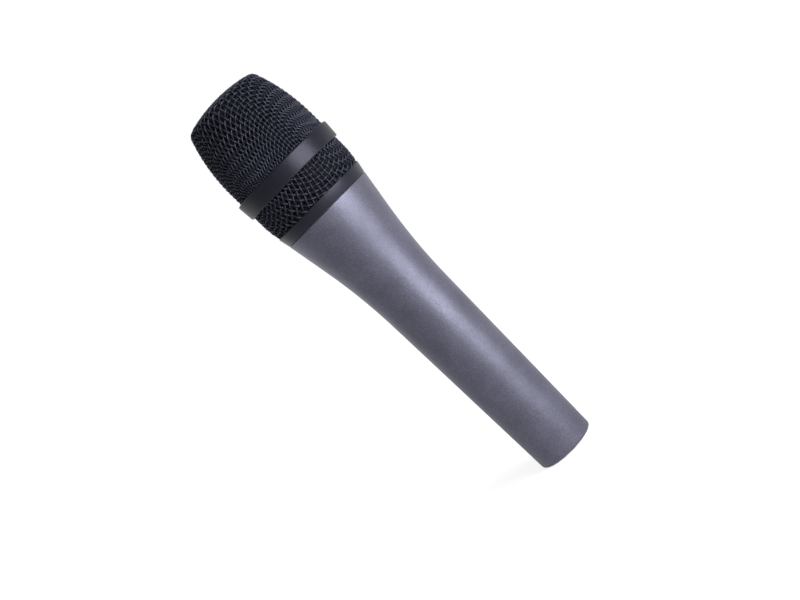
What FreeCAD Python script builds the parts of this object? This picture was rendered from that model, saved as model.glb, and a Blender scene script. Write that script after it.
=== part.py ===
# Handheld dynamic microphone: woven wire basket, die-cast body, shock-mounted moving-coil capsule.
# Frame: millimetres, origin at the centre of the tail face, +Z along the axis towards the basket.
import FreeCAD
import Part
import Sketcher
import math
import os
import re

# ---------------------------------------------------------------------------- driving sizes
SIZES = {
    # body casting
    "body_top": 129.2,            # height of the shoulder that carries the basket
    "tail_radius": 12.35,
    "tail_round": 1.2,            # rounding of the tail rim
    "waist_height": 80.0,         # end of the gently tapered barrel
    "waist_radius": 14.18,
    "flare_height": 112.0,        # end of the curved flare
    "flare_radius": 17.15,
    "body_top_radius": 20.0,
    "shell_wall": 2.0,
    "seat_width": 1.8,            # shoulder outside the threaded neck
    "neck_height": 6.3,
    "neck_wall": 1.5,
    "neck_chamfer": 0.5,
    "mount_ledge": 1.1,           # ledge under the capsule mount ring
    "lip_height": 3.2,            # inner lip that stops the connector insert
    "lip_width": 0.7,
    "lip_taper": 1.0,
    # basket
    "basket_height": 57.8,        # from the body's shoulder to the apex
    "seat_gap": 0.1,              # seam between basket and body
    "thread_gap": 0.1,            # running clearance of the basket's thread
    "band_height": 4.7,           # top of the smooth band above the shoulder
    "band_step": 0.2,             # how far the band stands proud of the mesh
    "lip_wall": 1.35,             # wall of the ring inside the mesh
    "lip_rise": 2.5,              # how far the ring reaches up inside the mesh
    "mesh_wall": 1.0,             # thickness of the woven cloth
    "mesh_gap": 0.1,              # play of the mesh in its grooves
    "mesh_bulge": 0.9,            # how far the mesh widens above the band
    "mesh_knee": 0.6,             # how much of that it has reached at the foot of its windows
    "collar_rise": 16.9,          # underside of the collar above the shoulder
    "collar_height": 7.0,
    "collar_low": 0.85,           # how far the collar's lower edge stands proud
    "collar_high": 1.35,          # how far the collar's upper edge stands proud
    "collar_round": 0.6,
    "groove_depth": 2.3,          # grooves that hold the two meshes
    "collar_inner": 1.0,          # collar's wall inside the grooves
    "side_bend": 73.4,            # radius of the curved side, seen in section
    "brow_drop": 4.6,             # where the side meets the rounded corner, below the apex
    "corner_bend": 3.85,
    "face_inset": 6.45,           # rim of the slightly domed front, in from the side
    "front_bend": 59.0,
    # windows of the mesh
    "columns": 30,
    "front_rows": 6,
    "rear_rows": 2,
    "window_angle": 8.0,          # share of the turn that each window takes, in degrees
    "bar_height": 1.05,
    "face_pitch": 4.1,
    "face_window": 3.05,
    "face_margin": 0.9,           # plain rim left round the windows of the front
    # foam
    "foam_gap": 0.3,
    "foam_wall": 2.4,
    "foam_front": 9.6,            # thickness of the foam behind the front
    "foam_split": 18.6,           # where the dome ends, below the apex
    "foam_straight": 2.25,        # straight foot of the dome
    # connector in the tail
    "insert_radius": 9.5,
    "insert_gap": 0.1,
    "insert_depth": 20.8,         # top of the insert
    "mouth_recess": 0.5,
    "mouth_chamfer": 0.45,
    "socket_radius": 8.05,
    "socket_depth": 14.2,
    "key_width": 1.5,
    "key_height": 0.8,
    "key_length": 7.0,
    "latch_width": 4.6,
    "latch_height": 3.4,
    "latch_depth": 0.8,
    "latch_place": 2.6,           # start of the latch recess above the mouth
    "contact_circle": 4.05,
    "contact_radius": 1.185,
    "contact_recess": 2.8,        # contact tips below the tail face
    "contact_point": 0.8,
    "contact_flat": 0.7,
    "contact_foot": 1.45,
    "contact_gap": 0.05,
    "tag_radius": 1.1,
    "tag_height": 3.2,
    "screw_radius": 1.25,
    "screw_height": 18.0,
    "screw_length": 2.6,
    "screw_socket": 0.65,
    # wiring
    "board_radius": 8.4,
    "board_thick": 1.6,
    "lead_radius": 0.7,
    "lead_place": 3.0,
    "spring_width": 4.0,
    "spring_thick": 0.4,
    "spring_inner": 5.0,
    "spring_height": 6.0,
    "spring_gap": 0.3,
    "damper_height": 66.0,
    "damper_length": 14.0,
    "damper_gap": 0.3,
    "damper_hole": 1.0,
    # capsule mount
    "mount_gap": 0.1,
    "mount_wall": 1.6,
    "mount_height": 9.0,
    "mount_floor": 2.0,
    "mount_drop": 9.5,            # seat of the mount ring below the neck's top
    "float_gap": 0.3,             # room around the floating capsule
    "rubber_height": 6.0,
    # capsule
    "chamber_radius": 12.3,
    "chamber_wall": 1.0,
    "chamber_depth": 24.0,
    "flange_height": 1.5,
    "housing_radius": 13.0,
    "floor_place": 11.0,          # underside of the housing's floor above its flange
    "floor_thick": 2.0,
    "housing_bore": 11.2,
    "rim_wall": 0.9,
    "port_width": 4.0,
    "port_height": 6.5,
    "port_place": 3.5,
    "ports": 8,
    "vent_radius": 1.5,
    "yoke_radius": 9.9,
    "yoke_wall": 1.3,
    "yoke_floor": 2.5,
    "magnet_radius": 6.3,
    "magnet_height": 7.5,
    "pole_radius": 6.75,
    "pole_height": 2.5,
    "coil_gap": 0.25,
    "coil_wall": 0.4,
    "gap_room": 0.3,
    "coil_depth": 1.4,            # how far the coil hangs below the pole piece
    "coil_rise": 3.0,             # diaphragm above the pole piece
    "membrane": 0.25,
    "dome_height": 1.5,
    "travel_gap": 0.35,           # free travel left around the diaphragm
    "rim_rise": 2.35,             # housing's rim above the diaphragm's seat
    "plate_thick": 2.5,
    "plate_recess": 0.5,
    "plate_hole": 1.3,
    "plate_circle": 6.5,
    "plate_holes": 6,
    "cloth_thick": 0.5,
    "cloth_inset": 1.0,
    "hum_inner": 4.5,
    "hum_outer": 8.0,
    "hum_height": 3.0,
    "felt_gap": 0.2,
    "felt_height": 2.5,
}

# ---------------------------------------------------------------------------- derived places
# Expressions over the sheet; every mating piece is placed from the same ones.
NECK_TOP = "(body_top + neck_height)"
NECK_RADIUS = "(body_top_radius - seat_width)"
NECK_BORE = f"({NECK_RADIUS} - neck_wall)"
MOUNT_SEAT = f"({NECK_TOP} - mount_drop)"
INSERT_BORE = "(insert_radius + insert_gap)"
CAVITY_FOOT = "(insert_depth + lip_height + lip_taper)"
BARREL_SLOPE = "((waist_radius - tail_radius) / waist_height)"
CAVITY_FOOT_RADIUS = f"(tail_radius + {BARREL_SLOPE} * {CAVITY_FOOT} - shell_wall)"

SEAT = "(body_top + seat_gap)"
THREAD_BORE = f"({NECK_RADIUS} + thread_gap)"
BAND_TOP = "(body_top + band_height)"
LIP_RADIUS = f"({THREAD_BORE} + lip_wall)"
LIP_TOP = f"({BAND_TOP} + lip_rise)"
REAR_FOOT = f"({LIP_RADIUS} + mesh_gap + mesh_wall)"
REAR_BOTTOM = f"({BAND_TOP} + mesh_gap)"
GRILLE_RADIUS = f"({REAR_FOOT} + mesh_bulge)"
COLLAR_BOTTOM = "(body_top + collar_rise)"
COLLAR_TOP = f"({COLLAR_BOTTOM} + collar_height)"
COLLAR_BORE = f"({GRILLE_RADIUS} - mesh_wall - mesh_gap - collar_inner)"
REAR_TOP = f"({COLLAR_BOTTOM} + groove_depth - mesh_gap)"
FRONT_BOTTOM = f"({COLLAR_TOP} - groove_depth + mesh_gap)"
APEX = "(body_top + basket_height)"
BROW = f"({APEX} - brow_drop)"
FRONT_ROW = f"(({BROW} - {COLLAR_TOP} - bar_height) / front_rows)"
REAR_ROW = f"(({COLLAR_BOTTOM} - {LIP_TOP} - bar_height) / rear_rows)"
SIDE_TOP = f"({COLLAR_TOP} + bar_height / 2 + {FRONT_ROW})"
SIDE_CENTRE = f"({GRILLE_RADIUS} - side_bend)"
BROW_RADIUS = f"({SIDE_CENTRE} + sqrt(side_bend ^ 2 - ({BROW} - {SIDE_TOP}) ^ 2))"
FACE_RADIUS = f"({GRILLE_RADIUS} - face_inset)"
RIM = f"({APEX} - front_bend + sqrt(front_bend ^ 2 - {FACE_RADIUS} ^ 2))"

FOAM_RADIUS = f"({COLLAR_BORE} - foam_gap)"
FOAM_SPLIT = f"({APEX} - foam_split)"

SOCKET_FLOOR = "(mouth_recess + socket_depth)"
BOARD_SEAT = "(insert_depth + tag_height)"
BOARD_TOP = f"({BOARD_SEAT} + board_thick)"

RUBBER_SEAT = f"({MOUNT_SEAT} + mount_floor)"
FLANGE = f"({RUBBER_SEAT} + rubber_height)"
MOUNT_RADIUS = f"({NECK_BORE} - mount_gap)"
MOUNT_BORE = f"({MOUNT_RADIUS} - mount_wall)"
FLANGE_RADIUS = f"({MOUNT_BORE} - float_gap)"
CHAMBER_BORE = "(chamber_radius - chamber_wall)"
CHAMBER_BOTTOM = f"({FLANGE} - chamber_depth)"
FLOOR = f"({FLANGE} + floor_place + floor_thick)"
POLE_SEAT = f"({FLOOR} + yoke_floor + magnet_height)"
POLE_TOP = f"({POLE_SEAT} + pole_height)"
COIL_INNER = "(pole_radius + coil_gap)"
COIL_OUTER = f"({COIL_INNER} + coil_wall)"
MEMBRANE = f"({POLE_TOP} + coil_rise)"
DIAPHRAGM_SEAT = f"({MEMBRANE} - travel_gap)"
HOUSING_TOP = f"({DIAPHRAGM_SEAT} + rim_rise)"
RIM_BORE = "(housing_radius - rim_wall)"
PLATE_TOP = f"({HOUSING_TOP} + plate_thick)"

LEFT = 1
RIGHT = -1
FULL_TURN = 360
HALF_TURN = 180
NOTHING = 1e-9                    # shorter than any size here
FLARE_STEPS = 5                   # cones that make up the flare
FACE_STEPS = 3                    # cones that make up the domed face
HEXAGON = 6
CONTACT_ANGLES = {1: 180, 2: 0, 3: 270}
ROUND_SHARE = "(1 - sqrt(0.5))"   # middle of a quarter round, from its corner
SHEET_ROW = "A{}"

# ---------------------------------------------------------------------------- document and helpers
document = FreeCAD.newDocument("dynamic_microphone")
sheet = document.addObject("Spreadsheet::Sheet", "sizes")
for row, (alias, number) in enumerate(SIZES.items(), start=1):
    sheet.set(SHEET_ROW.format(row), str(number))
    sheet.setAlias(SHEET_ROW.format(row), alias)
document.recompute()
sub_parts = []


def bound(text):
    """The expression with each size's name pointed at the sheet."""
    return re.sub(r"[a-z]\w+", lambda word: "sizes." + word[0] if word[0] in SIZES else word[0], text)


def value(text):
    """What an expression over the sheet comes to, as a number."""
    return float(sheet.evalExpression(text))


def register(sub_part, name):
    """Label a sub-part and list it for export."""
    sub_part.Label = name
    sub_parts.append(sub_part)
    return sub_part


def new_body(name):
    return register(document.addObject("PartDesign::Body", name), name)


def new_sketch(body, role, lift=None):
    """A sketch on one of the body's own origin planes, lifted along its normal."""
    sketch = body.newObject("Sketcher::SketchObject", body.Name + "_sketch")
    plane = next(feature for feature in body.Origin.OriginFeatures if feature.Role == role)
    sketch.AttachmentSupport = [(plane, "")]
    sketch.MapMode = "FlatFace"
    if lift:
        sketch.setExpression("AttachmentOffset.Base.z", bound(lift))
    document.recompute()
    return sketch


def arc_between(start, end, bend, turn):
    """Arc of the given radius from start to end, turning left or right on the way."""
    chord = end - start
    inward = FreeCAD.Vector(-chord.y, chord.x, 0).normalize() * turn
    rise = math.sqrt(max(bend ** 2 - (chord.Length / 2) ** 2, 0))
    centre = start + chord / 2 + inward * rise
    circle = Part.Circle(centre, FreeCAD.Vector(0, 0, 1), bend)
    first, last = (start, end) if turn == LEFT else (end, start)
    angles = [math.atan2(point.y - centre.y, point.x - centre.x) for point in (first, last)]
    return Part.ArcOfCircle(circle, *angles)


def pin_corner(geometry, place, axis_name, text):
    """Constraint that holds one coordinate of a corner, and the expression it follows."""
    number = value(text)
    if abs(number) < NOTHING:
        axis = -2 if axis_name == "DistanceX" else -1
        return Sketcher.Constraint("PointOnObject", geometry, place, axis), None
    return Sketcher.Constraint(axis_name, -1, 1, geometry, place, number), bound(text)


def add_loop(sketch, corners):
    """Closed loop of lines and arcs; a corner is (x, y) or (x, y, bend, turn) for an arc to the next."""
    points = [FreeCAD.Vector(value(corner[0]), value(corner[1]), 0) for corner in corners]
    first = sketch.GeometryCount
    shapes = []
    ends = []
    for index, corner in enumerate(corners):
        start = points[index]
        end = points[(index + 1) % len(points)]
        if len(corner) > 2:
            shapes.append(arc_between(start, end, value(corner[2]), corner[3]))
            ends.append((1, 2) if corner[3] == LEFT else (2, 1))
        else:
            shapes.append(Part.LineSegment(start, end))
            ends.append((1, 2))
    sketch.addGeometry(shapes, False)
    rules = []
    for index, corner in enumerate(corners):
        following = (index + 1) % len(corners)
        geometry = first + index
        start, end = ends[index]
        joined = (geometry, end, first + following, ends[following][0])
        rules.append((Sketcher.Constraint("Coincident", *joined), None))
        rules.append(pin_corner(geometry, start, "DistanceX", corner[0]))
        rules.append(pin_corner(geometry, start, "DistanceY", corner[1]))
        if len(corner) > 2:
            rules.append((Sketcher.Constraint("Radius", geometry, value(corner[2])), bound(corner[2])))
    added = sketch.addConstraint([rule for rule, expression in rules])
    for number, (rule, expression) in zip(added, rules):
        if expression:
            sketch.setExpression(f"Constraints[{number}]", expression)


def add_circle(sketch, x, y, radius):
    """Circle whose centre and radius follow the sheet."""
    centre = FreeCAD.Vector(value(x), value(y), 0)
    geometry = sketch.addGeometry(Part.Circle(centre, FreeCAD.Vector(0, 0, 1), value(radius)), False)
    rules = [pin_corner(geometry, 3, "DistanceX", x), pin_corner(geometry, 3, "DistanceY", y)]
    rules.append((Sketcher.Constraint("Radius", geometry, value(radius)), bound(radius)))
    added = sketch.addConstraint([rule for rule, expression in rules])
    for number, (rule, expression) in zip(added, rules):
        if expression:
            sketch.setExpression(f"Constraints[{number}]", expression)


def rounded_corner(radius, height, size, inward, upward):
    """Corner of an outline rounded by two chords; inward and upward are the ways its edges leave it."""
    across = f"{inward} * {size}"
    along = f"{upward} * {size}"
    middle = (f"{radius} + {across} * {ROUND_SHARE}", f"{height} + {along} * {ROUND_SHARE}")
    return [(f"{radius} + {across}", height), middle, (radius, f"{height} + {along}")]


def halfway(start, end, bend):
    """Point of an arc of that radius halfway from start to end, bulging to the right."""
    across = f"({end[0]} - {start[0]})"
    along = f"({end[1]} - {start[1]})"
    chord = f"sqrt({across} ^ 2 + {along} ^ 2)"
    rise = f"(({bend} - sqrt({bend} ^ 2 - {chord} ^ 2 / 4)) / {chord})"
    middle = [f"({first} + {last}) / 2" for first, last in zip(start, end)]
    return f"{middle[0]} + {along} * {rise}", f"{middle[1]} - {across} * {rise}"


def box_corners(left, low, right, high):
    return [(left, low), (right, low), (right, high), (left, high)]


def revolved(name, corners):
    """Body turned about the axis from its half section of (radius, height) corners."""
    body = new_body(name)
    sketch = new_sketch(body, "XZ_Plane")
    add_loop(sketch, corners)
    turning = body.newObject("PartDesign::Revolution", name + "_turning")
    turning.Profile = sketch
    turning.ReferenceAxis = (sketch, ["V_Axis"])
    turning.Angle = FULL_TURN
    document.recompute()
    return body


def ring(name, inner, outer, low, high):
    return revolved(name, box_corners(inner, low, outer, high))


def padded(body, sketch, length, backwards=False):
    pad = body.newObject("PartDesign::Pad", body.Name + "_pad")
    pad.Profile = sketch
    pad.setExpression("Length", bound(length))
    pad.Reversed = backwards
    document.recompute()
    return pad


def pocketed(body, sketch, length, backwards=False):
    """Cut the sketch out of the body, and make sure that the cut met it."""
    before = body.Shape.Volume
    cut = body.newObject("PartDesign::Pocket", body.Name + "_cut")
    cut.Profile = sketch
    cut.setExpression("Length", bound(length))
    cut.Reversed = backwards
    document.recompute()
    if not body.Shape.Volume < before:
        raise RuntimeError(f"{body.Label}: a pocket cuts nothing")
    return cut


def patterned(body, feature, count, span=FULL_TURN):
    """Copies of a feature about the microphone's axis."""
    pattern = body.newObject("PartDesign::PolarPattern", body.Name + "_pattern")
    pattern.Originals = [feature]
    pattern.Refine = False
    axis = next(item for item in body.Origin.OriginFeatures if item.Role == "Z_Axis")
    pattern.Axis = (axis, [""])
    pattern.Angle = span
    pattern.setExpression("Occurrences", bound(count))
    body.Tip = pattern
    document.recompute()
    return pattern


# ---------------------------------------------------------------------------- body
def flare_corners():
    """Corners up the flare: it leaves the barrel along its taper and widens with the square of the height."""
    span = "(flare_height - waist_height)"
    widening = f"(flare_radius - waist_radius - {BARREL_SLOPE} * {span})"
    for step in range(FLARE_STEPS + 1):
        share = f"({step} / {FLARE_STEPS})"
        radius = f"waist_radius + {BARREL_SLOPE} * {span} * {share} + {widening} * {share} ^ 2"
        yield radius, f"waist_height + {span} * {share}"


def handle_shell():
    """Die-cast body: tail socket, tapered barrel, flare, shoulder and threaded neck."""
    body = revolved("handle_shell", [
        (INSERT_BORE, "0"),
        *rounded_corner("tail_radius", "0", "tail_round", -1, 1),
        *flare_corners(),
        ("body_top_radius", "body_top"),
        (NECK_RADIUS, "body_top"),
        (NECK_RADIUS, f"{NECK_TOP} - neck_chamfer"),
        (f"{NECK_RADIUS} - neck_chamfer", NECK_TOP),
        (NECK_BORE, NECK_TOP),
        (NECK_BORE, MOUNT_SEAT),
        (f"{NECK_BORE} - mount_ledge", MOUNT_SEAT),
        ("flare_radius - shell_wall", "flare_height"),
        ("waist_radius - shell_wall", "waist_height"),
        (CAVITY_FOOT_RADIUS, CAVITY_FOOT),
        (f"{INSERT_BORE} - lip_width", f"{CAVITY_FOOT} - lip_taper"),
        (f"{INSERT_BORE} - lip_width", "insert_depth"),
        (INSERT_BORE, "insert_depth"),
    ])
    sketch = new_sketch(body, "XZ_Plane")
    add_circle(sketch, "0", "screw_height", "screw_radius + insert_gap")
    pocketed(body, sketch, "waist_radius * 2")


def capsule_mount_ring():
    revolved("capsule_mount_ring", [
        ("chamber_radius + float_gap", MOUNT_SEAT),
        (MOUNT_RADIUS, MOUNT_SEAT),
        (MOUNT_RADIUS, f"{MOUNT_SEAT} + mount_height"),
        (MOUNT_BORE, f"{MOUNT_SEAT} + mount_height"),
        (MOUNT_BORE, RUBBER_SEAT),
        ("chamber_radius + float_gap", RUBBER_SEAT),
    ])


def suspension_ring():
    ring("suspension_ring", "chamber_radius + 2 * float_gap", FLANGE_RADIUS, RUBBER_SEAT, FLANGE)


# ---------------------------------------------------------------------------- basket
def cut_side_windows(body, low, row_height, rows):
    """Rows of windows round the side of a mesh: one column turned through its angle, then copied."""
    sketch = new_sketch(body, "XZ_Plane")
    for row in range(round(value(rows))):
        bottom = f"({low} + bar_height + {row} * {row_height})"
        top = f"({low} + ({row} + 1) * {row_height})"
        add_loop(sketch, box_corners(f"{BROW_RADIUS} / 2", bottom, f"{GRILLE_RADIUS} * 2", top))
    before = body.Shape.Volume
    column = body.newObject("PartDesign::Groove", body.Name + "_windows")
    column.Profile = sketch
    column.ReferenceAxis = (sketch, ["V_Axis"])
    column.setExpression("Angle", bound("window_angle"))
    column.Refine = False
    document.recompute()
    if not body.Shape.Volume < before:
        raise RuntimeError(f"{body.Label}: the windows cut nothing")
    patterned(body, column, "columns")


def cut_face_windows(body):
    """Square windows over the front, kept clear of its rim; two bars cross at the apex."""
    sketch = new_sketch(body, "XY_Plane")
    reach = value(f"{FACE_RADIUS} - face_margin")
    pitch = value("face_pitch")
    half = value("face_window / 2")
    steps = int(reach // pitch)
    places = [step + 1 / 2 for step in range(-steps, steps)]
    for across in places:
        for along in places:
            corner = math.hypot(abs(across) * pitch + half, abs(along) * pitch + half)
            if corner < reach:
                left = f"{across} * face_pitch - face_window / 2"
                low = f"{along} * face_pitch - face_window / 2"
                add_loop(sketch, box_corners(left, low, f"{left} + face_window", f"{low} + face_window"))
    pocketed(body, sketch, f"{APEX} * 2", backwards=True)


def side_corners(wall):
    """Corners up the curved side of the front mesh, one on each bar between two rows of windows."""
    for row in range(1, round(value("front_rows"))):
        height = f"({COLLAR_TOP} + bar_height / 2 + {row} * {FRONT_ROW})"
        yield f"{SIDE_CENTRE} + sqrt((side_bend - {wall}) ^ 2 - ({height} - {SIDE_TOP}) ^ 2)", height


def face_corners(wall):
    """Corners over the domed face from its rim to the apex, on a skin that lies that far inside."""
    share = f"(1 - {wall} / front_bend)"
    for step in range(FACE_STEPS, -1, -1):
        radius = f"({FACE_RADIUS} * {step} / {FACE_STEPS})"
        centre = f"({APEX} - front_bend)"
        yield f"{radius} * {share}", f"{centre} + {share} * sqrt(front_bend ^ 2 - {radius} ^ 2)"


def front_grille():
    """Front of the basket: straight foot, curved side, rounded corner and slightly domed face."""
    side_share = "(1 - mesh_wall / side_bend)"
    brow = (BROW_RADIUS, BROW)
    inner_brow = (
        f"({SIDE_CENTRE} + {side_share} * ({BROW_RADIUS} - {SIDE_CENTRE}))",
        f"({SIDE_TOP} + {side_share} * ({BROW} - {SIDE_TOP}))",
    )
    face = list(face_corners("0"))
    inner_face = list(face_corners("mesh_wall"))
    body = revolved("front_grille", [
        (f"{GRILLE_RADIUS} - mesh_wall", FRONT_BOTTOM),
        (GRILLE_RADIUS, FRONT_BOTTOM),
        *side_corners("0"),
        brow,
        halfway(brow, face[0], "corner_bend"),
        *face,
        *reversed(inner_face),
        halfway(inner_brow, inner_face[0], "(corner_bend - mesh_wall)"),
        inner_brow,
        *reversed(list(side_corners("mesh_wall"))),
    ])
    cut_face_windows(body)
    cut_side_windows(body, COLLAR_TOP, FRONT_ROW, "front_rows")


def rear_grille():
    """Short woven stretch under the collar, drawn in at its foot."""
    knee = (f"{REAR_FOOT} + mesh_knee", f"{LIP_TOP} + bar_height / 2")
    belly = (GRILLE_RADIUS, f"{LIP_TOP} + bar_height / 2 + {REAR_ROW}")
    outside = [(REAR_FOOT, REAR_BOTTOM), knee, belly, (GRILLE_RADIUS, REAR_TOP)]
    inside = [(f"{radius} - mesh_wall", height) for radius, height in reversed(outside)]
    body = revolved("rear_grille", outside + inside)
    cut_side_windows(body, LIP_TOP, REAR_ROW, "rear_rows")


def collar_ring():
    """Rounded ring with a groove in each edge, one for each mesh."""
    inner_wall = f"{GRILLE_RADIUS} - mesh_wall - mesh_gap"
    outer_wall = f"{GRILLE_RADIUS} + mesh_gap"
    low_groove = f"{COLLAR_BOTTOM} + groove_depth"
    high_groove = f"{COLLAR_TOP} - groove_depth"
    revolved("collar_ring", [
        (COLLAR_BORE, COLLAR_BOTTOM),
        (inner_wall, COLLAR_BOTTOM),
        (inner_wall, low_groove),
        (outer_wall, low_groove),
        (outer_wall, COLLAR_BOTTOM),
        *rounded_corner(f"{GRILLE_RADIUS} + collar_low", COLLAR_BOTTOM, "collar_round", -1, 1),
        *reversed(rounded_corner(f"{GRILLE_RADIUS} + collar_high", COLLAR_TOP, "collar_round", -1, -1)),
        (outer_wall, COLLAR_TOP),
        (outer_wall, high_groove),
        (inner_wall, high_groove),
        (inner_wall, COLLAR_TOP),
        (COLLAR_BORE, COLLAR_TOP),
    ])


def grille_base_ring():
    """Threaded ring at the foot of the basket: smooth band outside, lip inside the mesh."""
    revolved("grille_base_ring", [
        (THREAD_BORE, SEAT),
        ("body_top_radius", SEAT),
        (f"{REAR_FOOT} + band_step", BAND_TOP),
        (LIP_RADIUS, BAND_TOP),
        (LIP_RADIUS, LIP_TOP),
        (THREAD_BORE, LIP_TOP),
    ])


def foam_sleeve():
    low = f"{LIP_TOP} + foam_gap"
    ring("foam_sleeve", f"{FOAM_RADIUS} - foam_wall", FOAM_RADIUS, low, f"{FOAM_SPLIT} - foam_gap")


def foam_dome():
    """Foam cup behind the front, following the inside of the mesh."""
    wall = "(mesh_wall + foam_gap)"
    rim, *_, tip = face_corners(wall)
    revolved("foam_dome", [
        (f"{FOAM_RADIUS} - foam_wall", FOAM_SPLIT),
        (FOAM_RADIUS, FOAM_SPLIT),
        (FOAM_RADIUS, f"{FOAM_SPLIT} + foam_straight"),
        (f"{BROW_RADIUS} - {wall}", f"{BROW} - {wall}"),
        rim,
        tip,
        ("0", f"{APEX} - foam_front"),
        (f"{FOAM_RADIUS} - foam_wall", f"{APEX} - foam_front"),
    ])


# ---------------------------------------------------------------------------- connector and wiring
def connector_insert():
    """Cup of the three-contact socket, with its key, latch recess and contact holes."""
    body = revolved("connector_insert", [
        ("socket_radius + mouth_chamfer", "mouth_recess"),
        ("insert_radius", "mouth_recess"),
        ("insert_radius", "insert_depth"),
        ("0", "insert_depth"),
        ("0", SOCKET_FLOOR),
        ("socket_radius", SOCKET_FLOOR),
        ("socket_radius", "mouth_recess + mouth_chamfer"),
    ])
    key = new_sketch(body, "XY_Plane", f"{SOCKET_FLOOR} - key_length")
    key_root = "insert_radius - key_height"
    add_loop(key, box_corners("-key_width / 2", "socket_radius - key_height", "key_width / 2", key_root))
    padded(body, key, "key_length")
    latch = new_sketch(body, "XZ_Plane")
    low = "mouth_recess + latch_place"
    add_loop(latch, box_corners("-latch_width / 2", low, "latch_width / 2", f"{low} + latch_height"))
    pocketed(body, latch, "socket_radius + latch_depth")
    hole = new_sketch(body, "XY_Plane")
    add_circle(hole, "contact_circle", "0", "contact_foot + contact_gap")
    holes = pocketed(body, hole, "insert_depth * 2", backwards=True)
    patterned(body, holes, str(len(CONTACT_ANGLES)), -HALF_TURN)


def contact_pins():
    """Three turned contacts: 1 and 2 opposite each other and 3 between them."""
    for number, angle in CONTACT_ANGLES.items():
        body = revolved(f"contact_pin_{number}", [
            ("0", "contact_recess"),
            ("contact_flat", "contact_recess"),
            ("contact_radius", "contact_recess + contact_point"),
            ("contact_radius", SOCKET_FLOOR),
            ("contact_foot", SOCKET_FLOOR),
            ("contact_foot", "insert_depth"),
            ("tag_radius", "insert_depth"),
            ("tag_radius", BOARD_SEAT),
            ("0", BOARD_SEAT),
        ])
        body.setExpression("Placement.Base.x", bound(f"contact_circle * cos({angle}deg)"))
        body.setExpression("Placement.Base.y", bound(f"contact_circle * sin({angle}deg)"))


def insert_screw():
    """Grub screw with its hexagon socket, through the body's wall onto the insert."""
    body = new_body("insert_screw")
    sketch = new_sketch(body, "XZ_Plane", f"-{INSERT_BORE}")
    add_circle(sketch, "0", "screw_height", "screw_radius")
    padded(body, sketch, "screw_length", backwards=True)
    socket = new_sketch(body, "XZ_Plane", f"-({INSERT_BORE} + screw_length / 2)")
    corners = []
    for step in range(HEXAGON):
        turned = f"{FULL_TURN // HEXAGON * step}deg"
        corners.append((f"screw_socket * cos({turned})", f"screw_height + screw_socket * sin({turned})"))
    add_loop(socket, corners)
    pocketed(body, socket, "screw_length")


def terminal_board():
    body = new_body("terminal_board")
    sketch = new_sketch(body, "XY_Plane", BOARD_SEAT)
    add_circle(sketch, "0", "0", "board_radius")
    padded(body, sketch, "board_thick")


def ground_spring():
    """Bent strip from the board to the wall of the barrel."""
    body = new_body("ground_spring")
    sketch = new_sketch(body, "YZ_Plane", "-spring_width / 2")
    reach = f"({CAVITY_FOOT_RADIUS} - spring_gap)"
    add_loop(sketch, [
        ("spring_inner", BOARD_TOP),
        (reach, BOARD_TOP),
        (reach, f"{BOARD_TOP} + spring_height"),
        (f"{reach} - spring_thick", f"{BOARD_TOP} + spring_height"),
        (f"{reach} - spring_thick", f"{BOARD_TOP} + spring_thick"),
        ("spring_inner", f"{BOARD_TOP} + spring_thick"),
    ])
    padded(body, sketch, "spring_width")


def signal_leads():
    """Two insulated leads from the board up to the capsule."""
    for name, side in (("signal_lead_hot", 1), ("signal_lead_cold", -1)):
        lead = register(document.addObject("Part::Cylinder", name), name)
        lead.setExpression("Radius", bound("lead_radius"))
        lead.setExpression("Height", bound(f"{CHAMBER_BOTTOM} - {BOARD_TOP}"))
        lead.setExpression("Placement.Base.x", bound(f"{side} * lead_place"))
        lead.setExpression("Placement.Base.z", bound(BOARD_TOP))


def lead_damper():
    """Foam plug in the barrel, with a hole for each lead."""
    slope = f"((waist_radius - shell_wall - {CAVITY_FOOT_RADIUS}) / (waist_height - {CAVITY_FOOT}))"
    radius = f"({CAVITY_FOOT_RADIUS} + {slope} * (damper_height - {CAVITY_FOOT}) - damper_gap)"
    body = new_body("lead_damper")
    sketch = new_sketch(body, "XY_Plane", "damper_height")
    add_circle(sketch, "0", "0", radius)
    add_circle(sketch, "lead_place", "0", "damper_hole")
    add_circle(sketch, "-lead_place", "0", "damper_hole")
    padded(body, sketch, "damper_length")


# ---------------------------------------------------------------------------- capsule
def capsule_housing():
    """Housing of the capsule: flange on the rubber, floor, rear ports and diaphragm seat."""
    floor_low = f"{FLANGE} + floor_place"
    body = revolved("capsule_housing", [
        (CHAMBER_BORE, FLANGE),
        (FLANGE_RADIUS, FLANGE),
        (FLANGE_RADIUS, f"{FLANGE} + flange_height"),
        ("housing_radius", f"{FLANGE} + flange_height"),
        ("housing_radius", HOUSING_TOP),
        (RIM_BORE, HOUSING_TOP),
        (RIM_BORE, DIAPHRAGM_SEAT),
        ("housing_bore", DIAPHRAGM_SEAT),
        ("housing_bore", FLOOR),
        ("vent_radius", FLOOR),
        ("vent_radius", floor_low),
        (CHAMBER_BORE, floor_low),
    ])
    sketch = new_sketch(body, "XZ_Plane")
    low = f"{FLOOR} + port_place"
    add_loop(sketch, box_corners("-port_width / 2", low, "port_width / 2", f"{low} + port_height"))
    port = pocketed(body, sketch, "housing_radius * 2")
    patterned(body, port, "ports")


def rear_chamber():
    revolved("rear_chamber", [
        ("0", CHAMBER_BOTTOM),
        ("chamber_radius", CHAMBER_BOTTOM),
        ("chamber_radius", FLANGE),
        (CHAMBER_BORE, FLANGE),
        (CHAMBER_BORE, f"{CHAMBER_BOTTOM} + chamber_wall"),
        ("0", f"{CHAMBER_BOTTOM} + chamber_wall"),
    ])


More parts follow.
